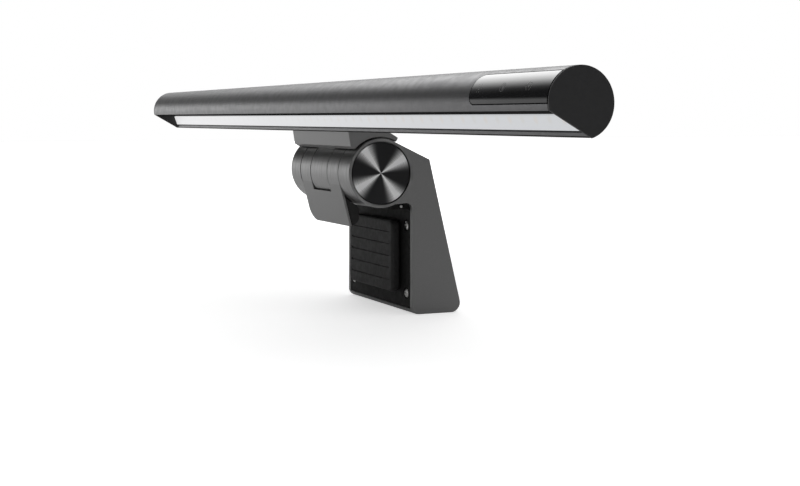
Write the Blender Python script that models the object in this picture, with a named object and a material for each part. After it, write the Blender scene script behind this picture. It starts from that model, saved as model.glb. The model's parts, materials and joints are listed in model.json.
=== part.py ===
"""Monitor light bar: a long lamp on a hinge barrel, with a clip in front and a weighted body behind.

Frame: X runs along the bar, Y points to the back of the monitor, Z points up. The origin is the middle
of the seat pad's underside, which rests on the monitor's top edge. Lengths are metres.

Three groups share one hinge axis along X: the clamp that sits on the monitor, the clip that swings in
front of it, and the lamp that tilts above it. Each group has a parent empty on that axis.
"""

import math

import bmesh
import bpy
from mathutils import Matrix, Vector

MM = 0.001
GAP = 0.3 * MM

# How far the cutting tools reach past the surfaces that they cut
BEYOND = 1.0 * MM

# Sides of the polygons that stand for round shapes, from the barrel down to screws and wires
BARREL_SIDES = 48
SEAT_SIDES = 32
BUSH_SIDES = 20
SCREW_SIDES = 10
WIRE_SIDES = 5

# Steps of the arcs in the section outlines
BAR_OUTER_STEPS = 56
BAR_INNER_STEPS = 44
PANEL_STEPS = 24
HOOD_TOP_STEPS = 10
HOOD_BOTTOM_STEPS = 18
NECK_STEPS = 8
CLIP_CORNER_STEPS = 8
PAD_TOP_STEPS = 6
CAVITY_STEPS = 12
COVER_TOP_STEPS = 4

# Hinge axis, seen from the seat pad's middle
HINGE_Y = -9.0 * MM
HINGE_Z = 15.2 * MM

# Hinge barrel: one knuckle of the lamp in the middle, two of the clip, two of the clamp outside
BARREL_RADIUS = 14.1 * MM
BARREL_HALF_LENGTH = 35.3 * MM
LAMP_JOINT_X = 10.2 * MM
CLIP_JOINT_X = 23.0 * MM
JOINT_HALF_GAP = 0.25 * MM
SWEEP_RADIUS = BARREL_RADIUS + 0.4 * MM
SHAFT_RADIUS = 3.0 * MM
SHAFT_BORE_RADIUS = SHAFT_RADIUS + 1.2 * GAP
BUSH_RADIUS = 4.7 * MM
BUSH_SEAT_RADIUS = BUSH_RADIUS + GAP

# Friction washers sit in shallow seats on both sides of each joint of the barrel
WASHER_RADIUS = 10.6 * MM
WASHER_THICKNESS = 1.2 * MM
WASHER_SEAT_RADIUS = 11.0 * MM
WASHER_SEAT_DEPTH = 0.7 * MM

# Pockets in the barrel's ends, with the decorative discs in their mouths
END_POCKET_RADIUS = 9.0 * MM
END_POCKET_X = 26.5 * MM
CAP_SEAT_RADIUS = 13.0 * MM
CAP_SEAT_X = 33.2 * MM
CAP_RADIUS = 12.65 * MM
CAP_CHAMFER = 0.3 * MM
CAP_INNER_X = 33.5 * MM
CAP_OUTER_X = 34.9 * MM

# Shaft, and the nut and dished washers that press the barrel together in its right pocket
SHAFT_HEAD_X = -29.8 * MM
SHAFT_HEAD_RADIUS = 5.0 * MM
SHAFT_END_X = 32.6 * MM
SHAFT_CHAMFER = 0.5 * MM
DISHED_WASHER_RADIUS = 6.6 * MM
DISHED_WASHER_THICKNESS = 0.6 * MM
DISHED_WASHER_DISH = 0.5 * MM
DISHED_WASHER_PITCH = 1.5 * MM
NUT_RADIUS = 5.8 * MM
NUT_START_X = 29.9 * MM
NUT_END_X = 32.4 * MM

# Bar, seen from the hinge axis; angles run from +Y towards +Z
BAR_Y = -20.7 * MM
BAR_Z = 26.7 * MM
BAR_HALF_LENGTH = 225.0 * MM
BAR_RADIUS = 10.35 * MM
BAR_WALL = 1.3 * MM
BAR_INNER_RADIUS = BAR_RADIUS - BAR_WALL
CAP_PLATE = 1.2 * MM
CAP_PLUG_LENGTH = 8.0 * MM
CAP_PLUG_ANGLES = (2, 168)
TUBE_HALF_LENGTH = BAR_HALF_LENGTH - CAP_PLATE
FRONT_LIP_ANGLE = 192.8
REAR_LIP_ANGLE = -71.8
REAR_LIP_INNER_ANGLE = REAR_LIP_ANGLE + 5.8

# The well under the bar: a ceiling from the front lip to its corner, then the diffuser to its foot
WELL_CORNER = Vector((1.1 * MM, -3.1 * MM))
WELL_FOOT = Vector((3.1 * MM, -8.4 * MM))
CEILING_THICKNESS = 1.2 * MM

# Diffuser and light board, both behind the line from the well's corner to its foot; tops and bottoms are
# distances down that line
DIFFUSER_THICKNESS = 1.2 * MM
DIFFUSER_TOP = 0.35 * MM
DIFFUSER_BOTTOM = 5.15 * MM
DIFFUSER_DRAFT = 0.25 * MM
DIFFUSER_HALF_LENGTH = TUBE_HALF_LENGTH - GAP
LED_BOARD_DEPTH = 2.2 * MM
LED_BOARD_THICKNESS = 1.0 * MM
LED_BOARD_HALF_LENGTH = 216.0 * MM
LED_BOARD_TOP = -0.2 * MM
LED_BOARD_BOTTOM = 3.8 * MM
LED_ALONG_WALL = 1.8 * MM
LED_HALF_WIDTH = 0.7 * MM
LED_HALF_LENGTH = 1.4 * MM
LED_HEIGHT = 0.6 * MM
LED_PITCH = 8.0 * MM
LED_COUNT = 54

# Touch panel at the bar's right end
TOUCH_START_X = 176.2 * MM
TOUCH_ANGLE = 151.2
TOUCH_HALF_WIDTH = 5.07 * MM
TOUCH_CORNER = 3.0 * MM
TOUCH_REACH_ANGLE = 48
TOUCH_CUT_DEPTH = 6.7 * MM
TOUCH_BOARD_DEPTH = 5.3 * MM
TOUCH_BOARD_THICKNESS = 1.0 * MM
TOUCH_BOARD_HALF_WIDTH = 4.0 * MM
TOUCH_BOARD_START_X = 174.7 * MM
TOUCH_BOARD_END_X = 214.0 * MM
TOUCH_SPRING_RADIUS = 2.2 * MM
TOUCH_SPRING_TURNS = 2.5
TOUCH_SPRING_WIRE_RADIUS = 0.25 * MM
TOUCH_KEYS_X = (181.0 * MM, 196.0 * MM, 211.6 * MM)

# Driver board with the power socket in the bar's back
DRIVER_START_X = 40.0 * MM
DRIVER_END_X = 120.0 * MM
DRIVER_FRONT_Y = -7.4 * MM
DRIVER_BACK_Y = 8.2 * MM
DRIVER_Z = -1.2 * MM
DRIVER_THICKNESS = 1.0 * MM
SOCKET_X = 60.0 * MM
SOCKET_WIDTH = 8.9 * MM
SOCKET_HEIGHT = 3.2 * MM
SOCKET_LENGTH = 7.0 * MM
SOCKET_WALL = 0.35 * MM
SOCKET_MOUTH_Y = 10.2 * MM
SOCKET_BACK_WALL = 1.0 * MM
TONGUE_HALF_WIDTH = 3.3 * MM
TONGUE_HALF_THICKNESS = 0.35 * MM

# Components on the driver board: middle X, middle Y, length, width and height, in millimetres
DRIVER_COMPONENTS = (
    (78, -4.0, 10.0, 7.0, 3.2),
    (94, -3.5, 6.0, 6.0, 1.0),
    (94, 4.5, 8.0, 4.0, 1.6),
    (110, 0.0, 7.0, 5.0, 2.6),
    (48, -3.0, 6.0, 5.0, 2.2),
)

# Leads inside the bar: start, end, how far the middle bows out, and the insulation's radius
TOUCH_LEAD = (Vector((121, 3, 1.5)) * MM, Vector((172.7, 0, 3)) * MM, Vector((0, 0, 3)) * MM, 0.8 * MM)
LIGHT_LEAD = (Vector((39, 5, 1)) * MM, Vector((28, 5.6, -1.6)) * MM, Vector((0, 0.6, 1)) * MM, 0.7 * MM)

# Saddle between the bar and the barrel, seen from the hinge axis
SADDLE_HALF_LENGTH = 34.0 * MM
SADDLE_CLEARANCE_RADIUS = 14.7 * MM
SADDLE_FRONT_TOP = Vector((-13.9 * MM, 16.9 * MM))
SADDLE_FRONT_BOTTOM = Vector((-12.9 * MM, 11.0 * MM))
SADDLE_BEVEL_ANGLE = 137.9
SADDLE_TAIL_ANGLE = 60.5
SADDLE_TAIL_TOP = Vector((8.0 * MM, 14.4 * MM))
SADDLE_REAR_TOP = Vector((-10.4 * MM, 25.4 * MM))
NECK_INNER_RADIUS = 12.0 * MM
NECK_OUTER_RADIUS = 15.6 * MM
NECK_ANGLES = (72, 137.5)
LAMP_BUSH_INNER_X = 1.0 * MM

# Saddle screws, along lines that leave the bar's axis at an angle
SADDLE_SCREW_X = 28.0 * MM
SADDLE_SCREW_ANGLE = -40.0
SADDLE_HOLE_START = 8.0 * MM
SADDLE_HOLE_RADIUS = 1.45 * MM
SADDLE_COUNTERBORE_START = 16.9 * MM
SADDLE_COUNTERBORE_END = 22.0 * MM
SADDLE_COUNTERBORE_RADIUS = 2.4 * MM
SADDLE_SCREW_HEAD = 17.2 * MM
TUBE_HOLE_RADIUS = 1.5 * MM
TUBE_HOLE_REACH = 1.5 * MM

# Screws as head radius, head height, shank radius and length
SADDLE_SCREW = (2.0 * MM, 1.5 * MM, 1.1 * MM, 8.5 * MM)
COVER_SCREW = (1.95 * MM, 0.8 * MM, 1.15 * MM, 8.0 * MM)
SEAT_SCREW = (0.7 * MM, 0.6 * MM, 0.45 * MM, 1.9 * MM)

# Clip plate, seen from the hinge axis
CLIP_HALF_LENGTH = CLIP_JOINT_X - JOINT_HALF_GAP
CLIP_TANGENT_ANGLE = 194.7
CLIP_BOTTOM_Z = -22.2 * MM
CLIP_THICKNESS = 1.0 * MM
CLIP_NOTCH_Z = -8.3 * MM
CLIP_CORNER_WIDTH = 8.0 * MM
CLIP_CORNER_HEIGHT = 6.3 * MM
CLIP_FRONT_Y = -18.0 * MM
FRONT_PAD_Y = -4.5 * MM
FRONT_PAD_FACE_TOP_Z = -15.1 * MM
FRONT_PAD_CHAMFER = 1.0 * MM
FRONT_PAD_BOTTOM_Z = -21.6 * MM
FRONT_PAD_CORNER = 2.95 * MM
FRONT_PAD_INSET = 0.4 * MM
SPRING_COIL_RADIUS = 7.0 * MM
SPRING_WIRE_RADIUS = 0.8 * MM
SPRING_START_X = 12.3 * MM
SPRING_END_X = 18.3 * MM
SPRING_TURNS = 2.5
SPRING_TAIL = 1.2 * MM
SPRING_POCKET_RADIUS = 9.5 * MM
SPRING_POCKET_X = 19.5 * MM

# Rear housing side profile, seen from the hinge axis
HOUSING_WALL = 2.1 * MM
HOUSING_CORNER = Vector((21.6 * MM, 5.4 * MM))
HOUSING_BACK_SLOPE = 13.3
HOUSING_BOTTOM_Z = -58.2 * MM
THROAT_CEILING_Z = -12.2 * MM
THROAT_BACK_Y = 13.7 * MM
THROAT_CORNER = 2.5 * MM
CEILING_FRONT = Vector((6.0 * MM, -12.75 * MM))
HOUSING_TOP_ROUNDING = 1.2 * MM
HOUSING_BACK_ROUNDING = 4.0 * MM
HOUSING_FRONT_ROUNDING = 3.0 * MM
BOSS_RADIUS = 2.8 * MM
BOSS_BORE_RADIUS = 1.5 * MM
BOSS_BORE_DEPTH = 8.5 * MM

# Opening over the middle knuckles, so that the saddle can tilt back
SLOT_BACK_Y = 11.0 * MM
SLOT_TOP_Z = 20.0 * MM

# Inner cover, pads and weight, seen from the hinge axis
COVER_HALF_LENGTH = 32.9 * MM
COVER_THICKNESS = 1.6 * MM
COVER_FRONT_Y = 5.7 * MM
COVER_TOP_Z = -12.6 * MM
COVER_UNDERSIDE_Z = -15.0 * MM
COVER_BOTTOM_Z = -55.8 * MM
COVER_ROUNDING = 1.2 * MM
COVER_HOLE_RADIUS = 1.5 * MM
COVER_COUNTERSINK_RADIUS = 2.3 * MM
COVER_COUNTERSINK_DEPTH = 1.1 * MM
SEAT_POCKET_Z = -14.0 * MM
SEAT_POCKET_FRONT_Y = 4.0 * MM
SEAT_PAD_HALF_LENGTH = 29.0 * MM
SEAT_PAD_FRONT_Y = 6.0 * MM
SEAT_PAD_BACK_Y = 12.0 * MM
REAR_PAD_Y = 9.5 * MM
REAR_PAD_TOP_Z = -20.0 * MM
REAR_PAD_BOTTOM_Z = -50.0 * MM
REAR_PAD_HALF_LENGTH = 24.0 * MM
REAR_PAD_BEVEL = 1.2 * MM
COVER_SCREW_X = 29.0 * MM
COVER_SCREW_TOP_Z = -22.0 * MM
COVER_SCREW_BOTTOM_Z = -50.0 * MM
SEAT_SCREW_Y = 10.0 * MM
SEAT_SCREW_Z = -13.8 * MM
SEAT_SCREW_HEAD_DEPTH = 0.7 * MM
SEAT_SCREW_PIT_RADIUS = 1.0 * MM
SEAT_SCREW_PIT_DEPTH = 3.2 * MM
WEIGHT_HALF_LENGTH = 23.0 * MM
WEIGHT_FRONT_Y = 16.6 * MM
WEIGHT_TOP_Z = -24.0 * MM
WEIGHT_BOTTOM_Z = -55.0 * MM
WEIGHT_CLEARANCE = 0.6 * MM
WEIGHT_SCREW_X = 14.0 * MM
WEIGHT_SCREW_Z = -40.0 * MM
WEIGHT_HOLE_RADIUS = 1.6 * MM
WEIGHT_COUNTERBORE_RADIUS = 2.9 * MM
WEIGHT_COUNTERBORE_DEPTH = 2.4 * MM
WEIGHT_SCREW_HEAD = (2.5 * MM, 1.7 * MM, 1.25 * MM)
WEIGHT_SCREW_HEAD_DEPTH = 2.1 * MM
WEIGHT_SCREW_END_GAP = 3.6 * MM


# --- Geometry in the plane across the bar ---------------------------------------------------------

def polar(radius, degrees, centre=Vector((0, 0))):
    """Point at an angle from +Y towards +Z."""
    angle = math.radians(degrees)
    return centre + radius * Vector((math.cos(angle), math.sin(angle)))


def arc(radius, start, end, steps, centre=Vector((0, 0))):
    """Points on an arc, both ends included, angles in degrees."""
    return [polar(radius, start + (end - start) * i / steps, centre) for i in range(steps + 1)]


def angle_of(point):
    return math.degrees(math.atan2(point.y, point.x))


def line_meets_circle(start, toward, radius, centre=Vector((0, 0))):
    """Where the line from start towards another point first meets a circle."""
    direction = (toward - start).normalized()
    across = start - centre
    half = across.dot(direction)
    root = math.sqrt(half * half - across.dot(across) + radius * radius)
    return start + direction * (-half - root)


def line_meets_line(a, b, c, d):
    """Where the line through a and b meets the line through c and d."""
    first = b - a
    second = d - c
    cross = first.x * second.y - first.y * second.x
    along = ((c - a).x * second.y - (c - a).y * second.x) / cross
    return a + first * along


def shifted(a, b, distance):
    """The line through a and b, moved to its left side by a distance."""
    direction = (b - a).normalized()
    left = Vector((-direction.y, direction.x)) * distance
    return a + left, b + left


def rounded(before, corner, after, radius, steps=6):
    """Points of a fillet at a corner between two straight edges."""
    to_before = (before - corner).normalized()
    to_after = (after - corner).normalized()
    half_angle = to_before.angle(to_after) / 2
    reach = radius / math.tan(half_angle)
    centre = corner + (to_before + to_after).normalized() * radius / math.sin(half_angle)
    first = corner + to_before * reach - centre
    last = corner + to_after * reach - centre
    sweep = (angle_of(last) - angle_of(first) + 180) % 360 - 180
    return arc(radius, angle_of(first), angle_of(first) + sweep, steps, centre)


# --- Meshes ---------------------------------------------------------------------------------------

def new_object(name, mesh, material=None, parent=None, location=(0, 0, 0)):
    piece = bpy.data.objects.new(name, mesh)
    bpy.context.collection.objects.link(piece)
    piece.parent = parent
    piece.location = location
    if material:
        mesh.materials.append(material)
    return piece


def finish_mesh(name, shape):
    """Closes a bmesh into a mesh with outward faces, smooth apart from its sharp edges."""
    bmesh.ops.recalc_face_normals(shape, faces=shape.faces)
    mesh = bpy.data.meshes.new(name)
    shape.to_mesh(mesh)
    shape.free()
    mesh.shade_smooth()
    mesh.set_sharp_from_angle(angle=math.radians(30))
    return mesh


def prism_mesh(name, outline, start_x, end_x):
    """Extrudes an outline in the plane across the bar from one X to another."""
    shape = bmesh.new()
    corners = [shape.verts.new((start_x, point.x, point.y)) for point in outline]
    face = shape.faces.new(corners)
    extruded = bmesh.ops.extrude_face_region(shape, geom=[face])
    moved = [item for item in extruded["geom"] if isinstance(item, bmesh.types.BMVert)]
    bmesh.ops.translate(shape, verts=moved, vec=(end_x - start_x, 0, 0))
    return finish_mesh(name, shape)


def turned_mesh(name, profile, segments):
    """Turns a closed profile of (x, radius) points about the X axis; a ring when no radius is zero."""
    shape = bmesh.new()
    rings = []
    for x, radius in profile:
        if radius == 0:
            rings.append([shape.verts.new((x, 0, 0))])
            continue
        ring = []
        for i in range(segments):
            angle = math.tau * i / segments
            ring.append(shape.verts.new((x, radius * math.cos(angle), radius * math.sin(angle))))
        rings.append(ring)
    closed = all(radius > 0 for _, radius in profile)
    pairs = list(zip(rings, rings[1:])) + ([(rings[-1], rings[0])] if closed else [])
    for first, second in pairs:
        for i in range(segments):
            j = (i + 1) % segments
            corners = [first[i % len(first)], first[j % len(first)]]
            corners += [second[j % len(second)], second[i % len(second)]]
            unique = list(dict.fromkeys(corners))
            if len(unique) > 2:
                shape.faces.new(unique)
    return finish_mesh(name, shape)


def tube_path_mesh(name, path, radius, sides):
    """Sweeps a round section along a path of points, with flat ends."""
    shape = bmesh.new()
    rings = []
    normal = None
    for i, point in enumerate(path):
        ahead = path[min(i + 1, len(path) - 1)] - path[max(i - 1, 0)]
        ahead.normalize()
        seed = normal if normal else ahead.orthogonal()
        normal = (seed - ahead * seed.dot(ahead)).normalized()
        side = ahead.cross(normal)
        ring = []
        for k in range(sides):
            turn = math.tau * k / sides
            offset = normal * math.cos(turn) + side * math.sin(turn)
            ring.append(shape.verts.new(point + offset * radius))
        rings.append(ring)
    for first, second in zip(rings, rings[1:]):
        for k in range(sides):
            j = (k + 1) % sides
            shape.faces.new((first[k], first[j], second[j], second[k]))
    shape.faces.new(rings[0])
    shape.faces.new(rings[-1])
    return finish_mesh(name, shape)


def box_mesh(name, low, high):
    outline = [Vector((low[1], low[2])), Vector((high[1], low[2]))]
    outline += [Vector((high[1], high[2])), Vector((low[1], high[2]))]
    return prism_mesh(name, outline, low[0], high[0])


def merged_mesh(name, meshes):
    """Several meshes in one, still as separate shells."""
    shape = bmesh.new()
    for mesh in meshes:
        shape.from_mesh(mesh)
    return finish_mesh(name, shape)


def boolean(piece, tool_mesh, operation):
    """Adds a live Boolean with a hidden wire tool that moves with the piece."""
    tool = new_object(f"{piece.name}_tool_{len(piece.modifiers) + 1}", tool_mesh)
    tool.parent = piece.parent
    tool.location = piece.location
    tool.hide_render = True
    tool.display_type = "WIRE"
    modifier = piece.modifiers.new(operation.title(), "BOOLEAN")
    modifier.operation = operation
    modifier.object = tool
    return modifier


def cut(piece, tool_mesh):
    return boolean(piece, tool_mesh, "DIFFERENCE")


def cut_round(piece, tool_mesh):
    """Cuts a round seat. The EXACT solver leaves open edges where such seats share a flat face."""
    modifier = cut(piece, tool_mesh)
    modifier.solver = "MANIFOLD"
    return modifier


def add(piece, tool_mesh):
    return boolean(piece, tool_mesh, "UNION")


def keep(piece, tool_mesh):
    return boolean(piece, tool_mesh, "INTERSECT")


def turned_tool(profile, segments=SEAT_SIDES):
    return turned_mesh("tool", profile, segments)


def cylinder_x(radius, start_x, end_x, segments=BARREL_SIDES):
    """Solid round bar along X."""
    return turned_mesh("tool", [(start_x, 0), (start_x, radius), (end_x, radius), (end_x, 0)], segments)


def ring_profile(inner, outer, start_x, end_x):
    return [(start_x, inner), (start_x, outer), (end_x, outer), (end_x, inner)]


def turned_to(mesh, direction, origin):
    """Turns a mesh made along X to point along a direction, then moves it to its origin."""
    turn = Vector((1, 0, 0)).rotation_difference(Vector(direction)).to_matrix().to_4x4()
    mesh.transform(Matrix.Translation(origin) @ turn)
    return mesh


def screw_mesh(name, head_radius, head_height, shank_radius, length):
    """Cap screw along +X: the head's underside is at X = 0, with a slot-like socket in the head."""
    socket = head_radius * 0.5
    depth = head_height * 0.5
    profile = [
        (length, 0),
        (length, shank_radius * 0.7),
        (length - shank_radius * 0.6, shank_radius),
        (0, shank_radius),
        (0, head_radius),
        (-head_height * 0.8, head_radius),
        (-head_height, head_radius * 0.85),
        (-head_height, socket),
        (-head_height + depth, socket),
        (-head_height + depth, 0),
    ]
    return turned_mesh(name, profile, SCREW_SIDES)


# --- Materials ------------------------------------------------------------------------------------

def make_material(name, colour, roughness, metallic):
    material = bpy.data.materials.new(name)
    material.use_nodes = True
    shader = material.node_tree.nodes["Principled BSDF"]
    shader.inputs["Base Color"].default_value = (*colour, 1)
    shader.inputs["Roughness"].default_value = roughness
    shader.inputs["Metallic"].default_value = metallic
    material.diffuse_color = (*colour, 1)
    return material


def make_materials():
    looks = {
        "dark_aluminium": ((0.11, 0.11, 0.115), 0.38, 0.9),
        "grey_metal": ((0.19, 0.19, 0.19), 0.45, 0.7),
        "spun_metal": ((0.20, 0.20, 0.20), 0.25, 1.0),
        "black_plastic": ((0.022, 0.022, 0.024), 0.45, 0.0),
        "gloss_black": ((0.008, 0.008, 0.009), 0.06, 0.0),
        "white_diffuser": ((0.88, 0.88, 0.86), 0.5, 0.0),
        "black_rubber": ((0.018, 0.018, 0.018), 0.8, 0.0),
        "steel": ((0.5, 0.5, 0.5), 0.3, 1.0),
        "brass": ((0.6, 0.42, 0.16), 0.3, 1.0),
        "green_board": ((0.02, 0.11, 0.05), 0.5, 0.0),
        "white_board": ((0.75, 0.75, 0.72), 0.5, 0.0),
        "black_cable": ((0.02, 0.02, 0.02), 0.5, 0.0),
    }
    return {name: make_material(name, *look) for name, look in looks.items()}


# --- Lamp -----------------------------------------------------------------------------------------

def wall_point(along, behind):
    """Point behind the well's steep wall: a distance down the wall, and a distance into the bar."""
    down = (WELL_FOOT - WELL_CORNER).normalized()
    inward = Vector((-down.y, down.x))
    return WELL_CORNER + down * along + inward * behind


def touch_prism(name, clearance, end_x, low, high):
    """Rounded rectangle over the touch panel, extruded along the panel's mean direction."""
    half = TOUCH_HALF_WIDTH + clearance
    start = TOUCH_START_X - clearance
    corner = TOUCH_CORNER + clearance
    outline = [Vector((end_x, -half)), Vector((end_x, half))]
    for side, first in ((1, 90), (-1, 180)):
        middle = Vector((start + corner, side * (half - corner)))
        outline += arc(corner, first, first + 90, 6, middle)
    shape = bmesh.new()
    face = shape.faces.new([shape.verts.new((point.x, point.y, low)) for point in outline])
    extruded = bmesh.ops.extrude_face_region(shape, geom=[face])
    moved = [item for item in extruded["geom"] if isinstance(item, bmesh.types.BMVert)]
    bmesh.ops.translate(shape, verts=moved, vec=(0, 0, high - low))
    mesh = finish_mesh(name, shape)
    mesh.transform(Matrix.Rotation(math.radians(TOUCH_ANGLE - 90), 4, "X"))
    return mesh


def tube_outline():
    """C-shaped section of the bar's extrusion, with the well's ceiling as part of it."""
    front_lip = polar(BAR_RADIUS, FRONT_LIP_ANGLE)
    top_start, top_end = shifted(front_lip, WELL_CORNER, CEILING_THICKNESS)
    inner_start = line_meets_circle(top_start + (top_start - top_end), top_end, BAR_INNER_RADIUS)
    outline = arc(BAR_RADIUS, REAR_LIP_ANGLE, FRONT_LIP_ANGLE, BAR_OUTER_STEPS)
    outline += [WELL_CORNER, top_end]
    outline += arc(BAR_INNER_RADIUS, angle_of(inner_start) % 360, REAR_LIP_INNER_ANGLE, BAR_INNER_STEPS)
    outline.append(WELL_FOOT)
    return outline


def build_lamp_tube(look, parent, place):
    mesh = prism_mesh("lamp_tube", tube_outline(), -TUBE_HALF_LENGTH, TUBE_HALF_LENGTH)
    tube = new_object("lamp_tube", mesh, look, parent, place)
    cut(tube, touch_prism("tool", GAP, TUBE_HALF_LENGTH + BEYOND, TOUCH_CUT_DEPTH, BAR_RADIUS + BEYOND))
    half = Vector((SOCKET_WIDTH / 2 + GAP, 0, SOCKET_HEIGHT / 2 + GAP))
    middle = Vector((SOCKET_X, BAR_INNER_RADIUS, socket_z()))
    reach = Vector((0, BAR_WALL + BEYOND, 0))
    cut(tube, box_mesh("tool", middle - half - reach, middle + half + reach))
    for side in (-1, 1):
        hole = cylinder_x(TUBE_HOLE_RADIUS, BAR_INNER_RADIUS - TUBE_HOLE_REACH,
                          BAR_RADIUS + TUBE_HOLE_REACH, SCREW_SIDES)
        cut_round(tube, turned_to(hole, radial(SADDLE_SCREW_ANGLE), (side * SADDLE_SCREW_X, 0, 0)))


def radial(degrees):
    point = polar(1, degrees)
    return Vector((0, point.x, point.y))


def socket_z():
    return DRIVER_Z + DRIVER_THICKNESS + GAP + SOCKET_HEIGHT / 2


def build_end_cap(name, side, look, parent, place):
    """D-shaped plate over the bar's end, with a plug that enters the tube."""
    outline = arc(BAR_RADIUS, REAR_LIP_ANGLE, FRONT_LIP_ANGLE, BAR_OUTER_STEPS)
    outer = side * BAR_HALF_LENGTH
    inner = side * (TUBE_HALF_LENGTH + GAP)
    plate = prism_mesh(name, outline, min(outer, inner), max(outer, inner))
    cap = new_object(name, plate, look, parent, place)
    plug = arc(BAR_INNER_RADIUS - 1.3 * GAP, *CAP_PLUG_ANGLES, PANEL_STEPS)
    start = side * (TUBE_HALF_LENGTH - CAP_PLUG_LENGTH)
    end = side * (BAR_HALF_LENGTH - CAP_PLATE / 2)
    add(cap, prism_mesh("tool", plug, min(start, end), max(start, end)))


def build_diffuser(look, parent, place):
    outline = [
        wall_point(DIFFUSER_TOP, 0),
        wall_point(DIFFUSER_TOP, DIFFUSER_THICKNESS),
        wall_point(DIFFUSER_BOTTOM - DIFFUSER_DRAFT, DIFFUSER_THICKNESS),
        wall_point(DIFFUSER_BOTTOM, 0),
    ]
    mesh = prism_mesh("diffuser", outline, -DIFFUSER_HALF_LENGTH, DIFFUSER_HALF_LENGTH)
    new_object("diffuser", mesh, look, parent, place)


def build_led_board(look, parent, place):
    """Long narrow board with one raised light package per pitch."""
    back = LED_BOARD_DEPTH + LED_BOARD_THICKNESS
    outline = [
        wall_point(LED_BOARD_TOP, LED_BOARD_DEPTH),
        wall_point(LED_BOARD_TOP, back),
        wall_point(LED_BOARD_BOTTOM, back),
        wall_point(LED_BOARD_BOTTOM, LED_BOARD_DEPTH),
    ]
    mesh = prism_mesh("led_board", outline, -LED_BOARD_HALF_LENGTH, LED_BOARD_HALF_LENGTH)
    board = new_object("led_board", mesh, look, parent, place)
    package = [
        wall_point(LED_ALONG_WALL - LED_HALF_WIDTH, LED_BOARD_DEPTH - LED_HEIGHT),
        wall_point(LED_ALONG_WALL - LED_HALF_WIDTH, LED_BOARD_DEPTH + GAP),
        wall_point(LED_ALONG_WALL + LED_HALF_WIDTH, LED_BOARD_DEPTH + GAP),
        wall_point(LED_ALONG_WALL + LED_HALF_WIDTH, LED_BOARD_DEPTH - LED_HEIGHT),
    ]
    lights = []
    for i in range(LED_COUNT):
        middle = (i - (LED_COUNT - 1) / 2) * LED_PITCH
        lights.append(prism_mesh("tool", package, middle - LED_HALF_LENGTH, middle + LED_HALF_LENGTH))
    add(board, merged_mesh("tool", lights))


def build_touch_parts(looks, parent, place):
    """Curved glossy panel, the board under it, and the springs between the two."""
    end_x = TUBE_HALF_LENGTH - GAP
    top = TOUCH_ANGLE - TOUCH_REACH_ANGLE
    bottom = TOUCH_ANGLE + TOUCH_REACH_ANGLE
    shell = arc(BAR_RADIUS, top, bottom, PANEL_STEPS) + arc(BAR_INNER_RADIUS, bottom, top, PANEL_STEPS)
    mesh = prism_mesh("touch_panel", shell, TOUCH_START_X - BEYOND, end_x)
    panel = new_object("touch_panel", mesh, looks["gloss_black"], parent, place)
    keep(panel, touch_prism("tool", 0, end_x + BEYOND, TOUCH_CUT_DEPTH, BAR_RADIUS + BEYOND))

    out = polar(1, TOUCH_ANGLE)
    across = Vector((-out.y, out.x))
    board_top = TOUCH_BOARD_DEPTH + TOUCH_BOARD_THICKNESS
    outline = [
        out * TOUCH_BOARD_DEPTH - across * TOUCH_BOARD_HALF_WIDTH,
        out * board_top - across * TOUCH_BOARD_HALF_WIDTH,
        out * board_top + across * TOUCH_BOARD_HALF_WIDTH,
        out * TOUCH_BOARD_DEPTH + across * TOUCH_BOARD_HALF_WIDTH,
    ]
    board = prism_mesh("touch_board", outline, TOUCH_BOARD_START_X, TOUCH_BOARD_END_X)
    new_object("touch_board", board, looks["green_board"], parent, place)

    low = board_top + GAP + TOUCH_SPRING_WIRE_RADIUS
    high = BAR_INNER_RADIUS - GAP - TOUCH_SPRING_WIRE_RADIUS
    for number, x in enumerate(TOUCH_KEYS_X, 1):
        path = coil_path(TOUCH_SPRING_RADIUS, low, high, TOUCH_SPRING_TURNS, 10)
        spring = tube_path_mesh(f"touch_spring_{number}", path, TOUCH_SPRING_WIRE_RADIUS, WIRE_SIDES)
        spring = turned_to(spring, radial(TOUCH_ANGLE), (x, 0, 0))
        new_object(f"touch_spring_{number}", spring, looks["steel"], parent, place)


def coil_path(radius, start_x, end_x, turns, steps_per_turn):
    """Helix about the X axis."""
    count = round(turns * steps_per_turn)
    path = []
    for i in range(count + 1):
        angle = math.tau * turns * i / count
        x = start_x + (end_x - start_x) * i / count
        path.append(Vector((x, radius * math.cos(angle), radius * math.sin(angle))))
    return path


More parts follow.
